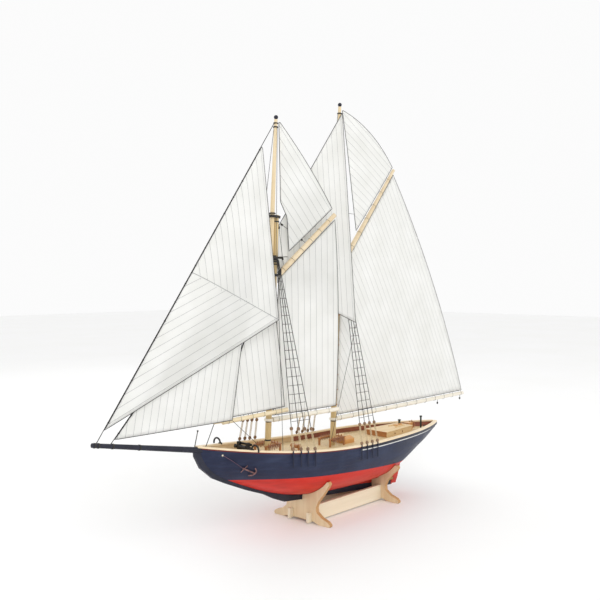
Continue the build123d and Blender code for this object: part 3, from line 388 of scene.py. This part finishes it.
def jaw_end(foot, rake, reach):
    """Blackened jaws on a gaff, within a reach of the mast's axis."""
    def paint(shader, tone):
        x, y, z = shader.axes()
        above = shader.math("SUBTRACT", z, foot[1] * MM)
        axis_x = shader.math("ADD", shader.math("MULTIPLY", above, rake), foot[0] * MM)
        dx = shader.math("SUBTRACT", x, axis_x)
        square = shader.math("ADD", shader.math("POWER", dx, 2.0), shader.math("POWER", y, 2.0))
        near = shader.math("LESS_THAN", shader.math("SQRT", square), reach * MM)
        return shader.mix(near, tone, BLACKENED)
    return paint


def rope_material(name, dark, light):
    """Waxed thread with a laid twist."""
    shader = Shader(name, 0.75)
    wave = shader.tree.nodes.new("ShaderNodeTexWave")
    wave.bands_direction = "DIAGONAL"
    wave.inputs["Scale"].default_value = 900.0
    wave.inputs["Distortion"].default_value = 1.5
    shader.link(shader.place, wave.inputs["Vector"])
    twist = wave.outputs["Fac"]
    laid = shader.ramp(twist, [(0.2, dark), (0.8, light)])
    uneven = shader.ramp(shader.noise(300.0), [(0.3, dark), (0.7, light)])
    shader.colour(shader.mix(0.3, laid, uneven))
    shader.bump(twist, 0.5, 0.1 * MM)
    return shader.material


def metal_material(name, dark, light, roughness=0.35, metallic=1.0):
    """Dull cast or turned metal."""
    shader = Shader(name, roughness, Metallic=metallic)
    spots = shader.noise(220.0, 5.0)
    shader.colour(shader.ramp(spots, [(0.3, dark), (0.75, light)]))
    shader.roughness(spots, [(0.3, roughness * 0.8), (0.8, roughness * 1.5)])
    shader.bump(spots, 0.25, 0.1 * MM)
    return shader.material


def sail_material():
    """Thin cotton: a fine weave, sewn panel seams and a soft glow through the cloth.

    The mesh's UV map holds, in metres, the distance across the panels and the distance from the mitre.
    """
    thread_pitch = 0.55 * MM
    thread_width = 0.28 * MM
    panel_width = 9.2 * MM
    shader = Shader("sailcloth", 0.85, Sheen_Weight=0.25, Sheen_Roughness=0.5)
    uv = shader.tree.nodes.new("ShaderNodeUVMap")
    uv.uv_map = "panels"
    across, mitre, _ = shader.axes(uv.outputs[0])
    x, y, z = shader.axes()
    warp = shader.line(shader.math("ADD", x, y), thread_pitch, thread_width)
    weft = shader.line(z, thread_pitch, thread_width)
    weave = shader.math("MULTIPLY", shader.math("ADD", warp, weft), 0.5)
    mottled = shader.noise(26.0, 5.0)
    cloth = shader.ramp(mottled, [(0.3, (0.87, 0.87, 0.845)), (0.7, (0.93, 0.93, 0.915))])
    cloth = shader.mix(shader.math("MULTIPLY", weave, 0.10), cloth, (0.62, 0.62, 0.60))
    seam = shader.line(across, panel_width, 0.42 * MM)
    diagonal = shader.math("LESS_THAN", shader.math("ABSOLUTE", mitre), 0.45 * MM)
    sewn = shader.math("MAXIMUM", seam, diagonal)
    cloth = shader.mix(shader.math("MULTIPLY", sewn, 0.55), cloth, (0.17, 0.17, 0.18))
    shader.colour(cloth)
    overlap = shader.line(across, panel_width, 1.6 * MM)
    shader.bump(shader.math("ADD", shader.math("MULTIPLY", weave, 0.3), overlap), 0.35, 0.12 * MM)
    glow = shader.tree.nodes.new("ShaderNodeBsdfTranslucent")
    shader.link(cloth, glow.inputs["Color"])
    blend = shader.tree.nodes.new("ShaderNodeMixShader")
    blend.inputs[0].default_value = 0.42
    shader.link(shader.surface.outputs[0], blend.inputs[1])
    shader.link(glow.outputs[0], blend.inputs[2])
    output = shader.tree.nodes["Material Output"]
    shader.link(blend.outputs[0], output.inputs["Surface"])
    return shader.material


THREAD = rope_material("black_thread", (0.012, 0.012, 0.013), (0.045, 0.043, 0.042))
BROWN_THREAD = rope_material("brown_thread", (0.22, 0.09, 0.05), (0.50, 0.27, 0.18))
IRON = metal_material("blackened_iron", (0.015, 0.014, 0.014), (0.06, 0.055, 0.05), 0.45, 0.6)
STRIP_WOOD = wood_material("strip_wood", (0.74, 0.64, 0.45), (0.86, 0.78, 0.60), roughness=0.55)
SAILCLOTH = sail_material()


# ---------------------------------------------------------------- lines of the rig, in millimetres
FORE_FOOT = (-109.0, 110.0)
MAIN_FOOT = (21.0, 92.0)
FORE_RAKE = 0.055
MAIN_RAKE = 0.0467
FORESTAY = ((-213.0, 0.0, 127.6), (-101.0, 0.0, 345.4))
JIB_STAY = ((-345.2, 0.0, 151.6), (-103.6, 0.0, 411.4))
OUTER_STAY = ((-364.0, 0.0, 154.2), (-96.2, 0.0, 527.8))
STAFF_FOOT = (-231.0, 0.0, 128.0)
STAFF_HEAD = (-226.0, 0.0, 147.0)
JAW_REACH = 9.5
# how far each sail is swung to port, in degrees
FORE_SWING = 18.0
MAIN_SWING = 0.0
JUMBO_SWING = 15.0
JIB_SWING = 7.4
OUTER_SWING = 8.2


class Plane:
    """A sail's own plane: x out along the boom, y up the line it turns about, z off the cloth."""

    def __init__(self, foot, head, swing):
        self.foot = Vector(foot)
        self.up = (Vector(head) - self.foot).normalized()
        aft = (Vector((1, 0, 0)) - self.up * self.up.x).normalized()
        self.out = Matrix.Rotation(-math.radians(swing), 3, self.up) @ aft
        self.off = self.out.cross(self.up)

    def at(self, x, y, z=0.0):
        """A point of the plane, from millimetres to metres."""
        return (self.foot + self.out * x + self.up * y + self.off * z) * MM


def mast_plane(foot, rake, swing):
    """The plane of a sail that turns about a raked mast."""
    return Plane((foot[0], 0, foot[1]), (foot[0] + rake * 100, 0, foot[1] + 100), swing)


FORE = mast_plane(FORE_FOOT, FORE_RAKE, FORE_SWING)
MAIN = mast_plane(MAIN_FOOT, MAIN_RAKE, MAIN_SWING)
JUMBO = Plane(*FORESTAY, JUMBO_SWING)
JIB = Plane(*JIB_STAY, JIB_SWING)
OUTER = Plane(*OUTER_STAY, OUTER_SWING)


# ---------------------------------------------------------------- the frame's own nodes
def give(material, *names):
    """Put one finish on some CAD nodes."""
    for name in names:
        mesh = nodes[name].data
        mesh.materials.clear()
        mesh.materials.append(material)


def paint_spars():
    """Masts, topmasts, booms and gaffs."""
    bands = {
        "foremast": [(118, 120), (142, 143.2), (352, 356)],
        "mainmast": [(98, 100), (126, 127.4), (374, 378)],
    }
    for name, heights in bands.items():
        wood = wood_material(name + "_wood", (0.47, 0.33, 0.14), (0.68, 0.52, 0.27), UPRIGHT, 0.4,
                             mast_bands(heights))
        give(wood, name)
    topmast = wood_material("topmast_wood", (0.66, 0.50, 0.27), (0.83, 0.70, 0.48), UPRIGHT, 0.4)
    give(topmast, "fore_topmast", "main_topmast")
    for name in ("fore_boom", "main_boom"):
        give(wood_material(name + "_wood", (0.74, 0.68, 0.56), (0.86, 0.82, 0.72), roughness=0.42), name)
    for name, foot, rake in (("fore_gaff", FORE_FOOT, FORE_RAKE), ("main_gaff", MAIN_FOOT, MAIN_RAKE)):
        wood = wood_material(name + "_wood", (0.62, 0.47, 0.28), (0.80, 0.68, 0.48), ALONG, 0.42,
                             jaw_end(foot, rake, JAW_REACH))
        give(wood, name)
    jumbo = wood_material("jumbo_boom_wood", (0.68, 0.54, 0.32), (0.84, 0.72, 0.50), roughness=0.42)
    give(jumbo, "jumbo_boom")


def paint_hull():
    """Planking, keel, deck, rail and the stand."""
    give(topside_material(), "topside_planking")
    give(bottom_material(), "bottom_planking")
    red = painted_material("red_fin", (0.46, 0.028, 0.018), (0.62, 0.05, 0.03))
    give(red, "deadwood", "rudder")
    black = painted_material("black_keel", (0.010, 0.011, 0.020), (0.032, 0.034, 0.055))
    give(black, "keel_and_stem", "bowsprit", "quarter_mouldings", "mast_trucks")
    deck = wood_material("deck_planking", (0.66, 0.48, 0.24), (0.80, 0.64, 0.38), ALONG, 0.5, deck_planks)
    give(deck, "deck")
    give(wood_material("rail_wood", (0.76, 0.58, 0.36), (0.88, 0.74, 0.52), roughness=0.4), "rail_cap")
    ply = wood_material("birch_ply", (0.66, 0.50, 0.29), (0.82, 0.68, 0.45), UPRIGHT, 0.55, cut_edges)
    give(ply, "cradle_fore", "cradle_aft", "bulkheads")
    give(STRIP_WOOD, "stand_boards", "keel_spine")
    give(metal_material("dull_brass", (0.30, 0.18, 0.06), (0.55, 0.38, 0.15)), "rudder_gudgeons")


def paint_fittings():
    """What stands on the deck, hangs on the sides or rings the masts."""
    brown_dark = (0.24, 0.085, 0.03)
    brown_light = (0.50, 0.22, 0.075)
    brown = wood_material("varnished_brown", brown_dark, brown_light, roughness=0.35)
    give(brown, "fife_rails", "deck_winch", "steering_wheel", "fore_mast_hoops", "main_mast_hoops")
    give(wood_material("varnished_brown_upright", brown_dark, brown_light, UPRIGHT, 0.35), "belaying_pins")
    orange = wood_material("varnished_orange", (0.48, 0.20, 0.05), (0.72, 0.38, 0.12), roughness=0.35)
    give(orange, "skylight", "wheel_box", "companion_slide")
    trunk = wood_material("trunk_wood", (0.62, 0.42, 0.19), (0.80, 0.62, 0.36), ALONG, 0.42, brown_front)
    give(trunk, "cabin_trunk", "dory")
    give(IRON, "windlass_bitts", "windlass_barrel", "crosstrees", "catheads")
    give(metal_material("anchor_bronze", (0.10, 0.05, 0.05), (0.38, 0.20, 0.19), 0.45, 0.5), "anchors")
    deadeye = wood_material("deadeye_wood", (0.10, 0.05, 0.025), (0.30, 0.17, 0.085), UPRIGHT, 0.45)
    give(deadeye, "deadeyes")
    give(painted_material("painted_strap", (0.006, 0.008, 0.022), (0.020, 0.026, 0.060)), "chainplates")
    give(painted_material("stern_iron", (0.012, 0.018, 0.016), (0.05, 0.06, 0.05)), "stern_fittings")


def paint_cords():
    """Rigging lines that keep their CAD shape."""
    give(THREAD, "stays", "fore_shrouds", "main_shrouds", "fore_halyards", "main_halyards", "sheets")
    give(rope_material("cable_thread", (0.05, 0.025, 0.05), (0.16, 0.09, 0.13)), "anchor_cables")
    give(rope_material("tan_thread", (0.40, 0.30, 0.17), (0.68, 0.56, 0.36)), "lanyards")


# ---------------------------------------------------------------- thin cords and turned shapes
def finish_piece(piece, material, body):
    """Give a new piece its look and the body that it rides on."""
    piece.data.materials.append(material)
    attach(piece, body)
    return piece


def cord_piece(name, runs, radius, material, body):
    """Several thin cords as one object; each run is (points in metres, closed), the radius in millimetres."""
    curve = bpy.data.curves.new(name, "CURVE")
    curve.dimensions = "3D"
    curve.bevel_depth = radius * MM
    curve.bevel_resolution = 1
    for points, closed in runs:
        spline = curve.splines.new("POLY")
        spline.points.add(len(points) - 1)
        for knot, point in zip(spline.points, points):
            knot.co = (*point, 1.0)
        spline.use_cyclic_u = closed
    return finish_piece(add_object(name, curve), material, body)


def turned(mesh, start, heading, profile, sides=14):
    """Add a turned shape along a heading; profile is a run of (distance, radius) in metres."""
    heading = heading.normalized()
    side = heading.orthogonal().normalized()
    other = heading.cross(side)
    rings = []
    for distance, radius in profile:
        centre = start + heading * distance
        ring = []
        for i in range(sides):
            turn = 2 * math.pi * i / sides
            ring.append(mesh.verts.new(centre + (side * math.cos(turn) + other * math.sin(turn)) * radius))
        rings.append(ring)
    for low, high in zip(rings, rings[1:]):
        for i in range(sides):
            face = mesh.faces.new((low[i], low[(i + 1) % sides], high[(i + 1) % sides], high[i]))
            face.smooth = True
    mesh.faces.new(list(reversed(rings[0])))
    mesh.faces.new(rings[-1])


def turned_piece(name, shapes, material, body):
    """One object of several turned shapes, each (start in metres, heading, profile in millimetres)."""
    mesh = bmesh.new()
    for start, heading, profile in shapes:
        turned(mesh, start, heading, [(d * MM, r * MM) for d, r in profile])
    data = bpy.data.meshes.new(name)
    mesh.to_mesh(data)
    mesh.free()
    return finish_piece(add_object(name, data), material, body)


# ---------------------------------------------------------------- sails
ACROSS_STEPS = 36
UP_STEPS = 44
CLOTH_THICKNESS = 0.25 * MM
BOLT_ROPE_RADIUS = 0.42
# keeps the distance across the panels positive, in millimetres
PANEL_SHIFT = 300
# the distance from the mitre that a sail without one is given, in millimetres
NO_MITRE = 99.0
# the fisherman's edges as the ship's (x, z), from the foot up
FISHERMAN_LUFF = [(-85.0, 322.0), (-85.0, 394.0)]
FISHERMAN_LEECH = [(35.0, 266.0), (35.0, 560.0)]


def along(points, share):
    """Point at a share of the length of a run of points."""
    lengths = [(b - a).length for a, b in zip(points, points[1:])]
    left = share * sum(lengths)
    for a, b, length in zip(points, points[1:], lengths):
        if left <= length:
            return a.lerp(b, left / length)
        left -= length
    return points[-1].copy()


def distance_from(point, a, b):
    """Signed distance of a flat point from the line a to b."""
    run = (b - a).normalized()
    offset = point - a
    return run.x * offset.y - run.y * offset.x


def sail_grid(mesh, place, luff, leech, bow, belly):
    """The cloth's vertices, row by row from the foot up, and the flat point of each."""
    chord = leech[-1] - leech[0]
    outward = Vector((chord.y, -chord.x)).normalized()
    flat_of = {}
    grid = []
    for j in range(UP_STEPS + 1):
        v = j / UP_STEPS
        start = along(luff, v)
        end = leech[0] + chord * v + outward * (4 * bow * v * (1 - v))
        fullness = math.sin(math.pi * min(1, 0.08 + 0.92 * v)) ** 0.7 if v < 1 else 0.0
        row = []
        for i in range(ACROSS_STEPS + 1):
            u = i / ACROSS_STEPS
            flat = start.lerp(end, u)
            draft = (u ** 0.75) * (1 - u) * 2.35
            ripple = 0.22 * math.sin(9.0 * u + 14.0 * v) * math.sin(math.pi * u) * math.sin(math.pi * v)
            vert = mesh.verts.new(place(flat.x, flat.y, belly * draft * fullness + ripple))
            flat_of[vert] = flat
            row.append(vert)
        grid.append(row)
    for lower, upper in zip(grid, grid[1:]):
        for i in range(ACROSS_STEPS):
            face = mesh.faces.new((lower[i], lower[i + 1], upper[i + 1], upper[i]))
            face.smooth = True
    return grid, flat_of


def map_panels(mesh, panels, flat_of, luff, leech, mitre):
    """Lay the panels along the leech, and along the foot below a mitre."""
    for face in mesh.faces:
        centre = sum((flat_of[v] for v in face.verts), Vector((0, 0))) / 4
        below = mitre is not None and distance_from(centre, *mitre) > 0
        edge = (luff[0], leech[0]) if below else (leech[0], leech[-1])
        for loop in face.loops:
            point = flat_of[loop.vert]
            across = distance_from(point, *edge) + PANEL_SHIFT
            seam = distance_from(point, *mitre) if mitre else NO_MITRE
            loop[panels].uv = (across * MM, seam * MM)


def grid_edge(grid):
    """Points once round the edge of a grid."""
    edge = [v.co.copy() for v in grid[0]] + [row[-1].co.copy() for row in grid[1:]]
    edge += [v.co.copy() for v in reversed(grid[-1][:-1])]
    edge += [row[0].co.copy() for row in reversed(grid[1:-1])]
    return edge


def build_sail(name, node, body, place, luff, leech, bow, belly, mitre=None):
    """One sail as a curved sheet between its luff and its leech, with a rope sewn round its edge.

    luff and leech run upwards as flat points; place turns a flat point and a height off the
    cloth into a point of the row frame; bow is the roach of the leech and belly the depth of
    the curve, all in millimetres. mitre is a pair of points where the panels change direction.
    """
    luff = [Vector(p) for p in luff]
    leech = [Vector(p) for p in leech]
    mesh = bmesh.new()
    panels = mesh.loops.layers.uv.new("panels")
    grid, flat_of = sail_grid(mesh, place, luff, leech, bow, belly)
    map_panels(mesh, panels, flat_of, luff, leech, mitre)
    mesh.normal_update()
    area = sum(face.calc_area() for face in mesh.faces)
    data = bpy.data.meshes.new(name)
    mesh.to_mesh(data)
    edge = grid_edge(grid)
    mesh.free()
    sail = finish_piece(add_object(name, data), SAILCLOTH, body)
    thickness = sail.modifiers.new("thickness", "SOLIDIFY")
    thickness.thickness = CLOTH_THICKNESS
    thickness.offset = 0.0
    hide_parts(node)
    rope = cord_piece(name + "_bolt_rope", [(edge, True)], BOLT_ROPE_RADIUS, THREAD, body)


def fisherman_place(x, z, off):
    """Twisted cloth from the foremast to a leech outside the main shrouds; x and z are the ship's."""
    luff_y = 5.0
    leech_foot_y = -30.0
    leech_head_y = -5.4
    (luff_x, luff_low), (_, luff_high) = FISHERMAN_LUFF
    (leech_x, leech_low), (_, leech_high) = FISHERMAN_LEECH
    share = (x - luff_x) / (leech_x - luff_x)
    low = luff_low + (leech_low - luff_low) * share
    high = luff_high + (leech_high - luff_high) * share
    height = (z - low) / (high - low)
    leech_y = leech_foot_y + (leech_head_y - leech_foot_y) * height
    y = (1 - share) * luff_y + share * leech_y
    return Vector((x, y - off, z)) * MM


def build_sails():
    """All eight sails, with their corners in their own planes."""
    build_sail("foresail_cloth", "foresail", "fore_rig", FORE.at,
               [(5.5, 40.5), (6.9, 217.6)], [(101.8, 50.8), (89.5, 302.0)], 4.6, 3.5)
    build_sail("fore_topsail_cloth", "fore_gaff_topsail", "fore_rig", FORE.at,
               [(20.5, 254.5), (15.8, 299), (5.2, 318), (3.6, 346), (-1.4, 420)],
               [(84.5, 316.5), (0.2, 420.8)], 3.0, 2.2)
    build_sail("mainsail_cloth", "mainsail", "main_rig", MAIN.at,
               [(5.5, 43), (6.9, 246)], [(342.5, 59), (124.5, 400.5)], 14.0, 6.0)
    build_sail("main_topsail_cloth", "main_gaff_topsail", "main_rig", MAIN.at,
               [(38.0, 307), (11.4, 425), (-1.4, 473)], [(121.8, 411.5), (0.4, 474)], 11.0, 2.5)
    build_sail("jumbo_cloth", "jumbo_staysail", "jumbo_rig", JUMBO.at,
               [(0.8, 32.5), (0.8, 233)], [(86.2, 83.5), (2.4, 232.5)], 1.5, 2.0)
    build_sail("jib_cloth", "jib", "hull", JIB.at,
               [(0.8, 4), (0.8, 311)], [(115.6, 113), (2.6, 310.5)], 0.0, 3.0)
    build_sail("jib_topsail_cloth", "jib_topsail", "hull", OUTER.at,
               [(0.8, 15), (0.8, 419)], [(139.0, 247), (2.8, 418.5)], 0.0, 4.0,
               mitre=(Vector((139.0, 247.0)), Vector((0.8, 222.0))))
    build_sail("fisherman_cloth", "fisherman_staysail", "hull", fisherman_place,
               FISHERMAN_LUFF, FISHERMAN_LEECH, 0.0, 2.5)


# ---------------------------------------------------------------- small rigging pieces
LACING_RADIUS = 0.17
HANK_RADIUS = 0.26
STROP_RADIUS = 0.3
# each spar's ends in its own plane
FORE_BOOM = ((6, 35), (104, 45.8))
FORE_GAFF = ((7.6, 224), (88, 307.5))
MAIN_BOOM = ((6, 37.5), (344, 53.9))
MAIN_GAFF = ((7.6, 255), (124, 406.2))
JUMBO_BOOM = ((10, 33.2), (90, 80.4))
BOOM_SLOPE = 16.5 / 340.3
BOWSPRIT_TIP = (-370.0, 0.0, 152.0)
BOWSPRIT_SLOPE = -0.192
BOWSPRIT_TIP_RADIUS = 2.5
BOWSPRIT_SWELL = 1.3 / 170.0
# a block's outline as (distance, radius) in millimetres, widest either side of its groove
BLOCK = [(-2.0, 0.35), (-1.75, 0.9), (-1.1, 1.25), (-0.3, 1.35), (0.0, 1.15), (0.3, 1.35), (1.1, 1.25),
         (1.75, 0.9), (2.0, 0.35)]


def ball_profile(radius):
    """A ball as a turned profile."""
    steps = [math.pi * (0.06 + 0.88 * i / 8) for i in range(9)]
    return [(-radius * math.cos(turn), radius * math.sin(turn)) for turn in steps]


def loop_round(centre, first, second, low, high, width):
    """A closed loop round a spar that reaches low and high along one way and width along the other."""
    steps = 16
    points = []
    for i in range(steps):
        turn = 2 * math.pi * i / steps
        reach = high if math.cos(turn) > 0 else low
        points.append(centre + first * (math.cos(turn) * reach * MM) + second * (math.sin(turn) * width * MM))
    return points, True


def spar_lacing(plane, spar, radius, sail_side, edge_gap, pitch):
    """Loops that tie a sail's edge to a spar at even steps."""
    clear_of_start, clear_of_end = 8.0, 4.0
    around = radius + 0.3
    start, end = Vector(spar[0]), Vector(spar[1])
    run = (end - start).normalized()
    normal = Vector((-run.y, run.x)) * sail_side
    across = plane.out * normal.x + plane.up * normal.y
    count = int(((end - start).length - clear_of_start - clear_of_end) / pitch)
    loops = []
    for i in range(count + 1):
        flat = start + run * (clear_of_start + pitch * i)
        loops.append(loop_round(plane.at(flat.x, flat.y), across, plane.off, around, edge_gap, around))
    return loops


def stay_hanks(plane, low, high, pitch):
    """Rings that carry a headsail's luff on its stay."""
    count = int((high - low) / pitch)
    centres = [plane.at(0.35, low + pitch * i) for i in range(count + 1)]
    return [loop_round(centre, plane.out, plane.off, 0.95, 1.3, 0.85) for centre in centres]


def build_lacings():
    """Loops round the booms and gaffs, and hanks on the head stays."""
    fore = spar_lacing(FORE, FORE_BOOM, 3.2, 1, 5.6, 19.0) + spar_lacing(FORE, FORE_GAFF, 3.7, -1, 4.6, 19.0)
    cord_piece("fore_lacing", fore, LACING_RADIUS, THREAD, "fore_rig")
    main = spar_lacing(MAIN, MAIN_BOOM, 3.2, 1, 5.5, 27.0) + spar_lacing(MAIN, MAIN_GAFF, 3.6, -1, 5.2, 27.0)
    cord_piece("main_lacing", main, LACING_RADIUS, THREAD, "main_rig")
    jumbo = spar_lacing(JUMBO, JUMBO_BOOM, 2.9, 1, 4.9, 17.0) + stay_hanks(JUMBO, 44.0, 228.0, 20.0)
    cord_piece("jumbo_lacing", jumbo, LACING_RADIUS, THREAD, "jumbo_rig")
    hanks = stay_hanks(JIB, 12.0, 305.0, 24.0) + stay_hanks(OUTER, 24.0, 414.0, 26.0)
    cord_piece("headsail_hanks", hanks, HANK_RADIUS, THREAD, "hull")


def rail_height(x):
    """Height of the sheer above the table, in millimetres, where the ship's x is x millimetres."""
    ahead = (BREAK_X - x * MM) / AHEAD_SPAN
    if ahead > 0:
        return (BREAK_Z + BOW_RISE * ahead ** 2) / MM
    behind = (x * MM - BREAK_X) / AFT_SPAN
    return (BREAK_Z - STERN_FALL * behind ** STERN_POWER) / MM


def pin_coils():
    """A hank of line hung on every belaying pin of the two fife rails."""
    dice = random.Random(11)
    turns_on_pin = 3
    loop_steps = 14
    pins_on_side = 5
    pin_y = 11.7
    layer_gap = 0.42
    runs = []
    for x_start, x_end in ((-122.0, -96.0), (4.0, 34.0)):
        top = rail_height((x_start + x_end) / 2) + 5.0
        step = (x_end - x_start) / (pins_on_side + 1)
        for i in range(1, pins_on_side + 1):
            for side in (-1, 1):
                base = Vector((x_start + step * i, side * pin_y, top - 1.2)) * MM
                for layer in range(turns_on_pin):
                    drop = 4.6 + 0.9 * layer + 0.8 * dice.random()
                    wide = 0.9 + 0.25 * layer
                    out = side * layer_gap * layer
                    loop = []
                    for k in range(loop_steps):
                        turn = 2 * math.pi * k / loop_steps
                        hang = -drop / 2 * (1 - math.cos(turn)) + 1.9
                        loop.append(base + Vector((wide * math.sin(turn), out, hang)) * MM)
                    runs.append((loop, True))
    return runs


def build_halyard_blocks():
    """Two blocks on each halyard, near its head and near its foot."""
    rigs = (
        ("fore", FORE, "fore_rig", (3.8, 291.5), ((45.0, 267.9), (13.5, 236.5))),
        ("main", MAIN, "main_rig", (3.8, 329.5), ((62.0, 331.6), (13.5, 269.0))),
    )
    for name, plane, body, top, ends in rigs:
        head = plane.at(*top, -1.0)
        blocks = []
        for x, y in ends:
            line = plane.at(x, y, -1.0) - head
            blocks += [(head + line * share, line, BLOCK) for share in (0.13, 0.86)]
        turned_piece(name + "_halyard_blocks", blocks, IRON, body)


def build_boom_blocks():
    """Two sheet blocks hung under the main boom on strops."""
    start_x, start_y = MAIN_BOOM[0]
    hangers = []
    strops = []
    for x in (268.0, 338.0):
        axis_y = start_y + BOOM_SLOPE * (x - start_x)
        hangers.append((MAIN.at(x, axis_y - 8.4), MAIN.up, BLOCK))
        strops.append(([MAIN.at(x, axis_y - 2.9), MAIN.at(x, axis_y - 7.0)], False))
    turned_piece("boom_blocks", hangers, IRON, "main_rig")
    cord_piece("boom_strops", strops, STROP_RADIUS, THREAD, "main_rig")


def build_bow_fittings():
    """Iron bands on the bowsprit, the staff at the stem head and the lips of the hawse holes."""
    tip = Vector(BOWSPRIT_TIP) * MM
    inward = Vector((1.0, 0.0, BOWSPRIT_SLOPE)).normalized()
    bands = []
    for distance in (2.0, 6.6, 24.5, 60.0):
        spar_radius = BOWSPRIT_TIP_RADIUS + BOWSPRIT_SWELL * distance
        low, high = spar_radius + 0.05, spar_radius + 0.45
        band = [(0, low), (0.15, high), (2.0, high), (2.15, low)]
        bands.append((tip + inward * (distance * MM), inward, band))
    turned_piece("bowsprit_bands", bands, IRON, "hull")
    foot = Vector(STAFF_FOOT) * MM
    head = Vector(STAFF_HEAD) * MM
    rod = (head - foot).length / MM
    staff = [(0, 0.55), (rod - 1.0, 0.5), (rod - 0.9, 0.6)]
    staff += [(rod + distance, radius) for distance, radius in ball_profile(1.15)]
    turned_piece("bow_staff", [(foot, head - foot, staff)], IRON, "hull")
    surface = BVHTree.FromObject(nodes["topside_planking"], bpy.context.evaluated_depsgraph_get())
    lip = [(0, 1.15), (0.9, 1.15), (1.15, 0.8), (1.15, 0.4)]
    lips = []
    for side in (-1, 1):
        place, normal, _, _ = surface.ray_cast(Vector((-200.0, side * 80, 116.0)) * MM, Vector((0, -side, 0)))
        lips.append((place - normal * (0.4 * MM), normal, lip))
    turned_piece("hawse_lips", lips, STRIP_WOOD, "hull")


build_camera()
build_studio()
paint_spars()
paint_hull()
paint_fittings()
paint_cords()
build_sails()
build_lacings()
cord_piece("pin_coils", pin_coils(), HANK_RADIUS, BROWN_THREAD, "hull")
build_halyard_blocks()
build_boom_blocks()
build_bow_fittings()
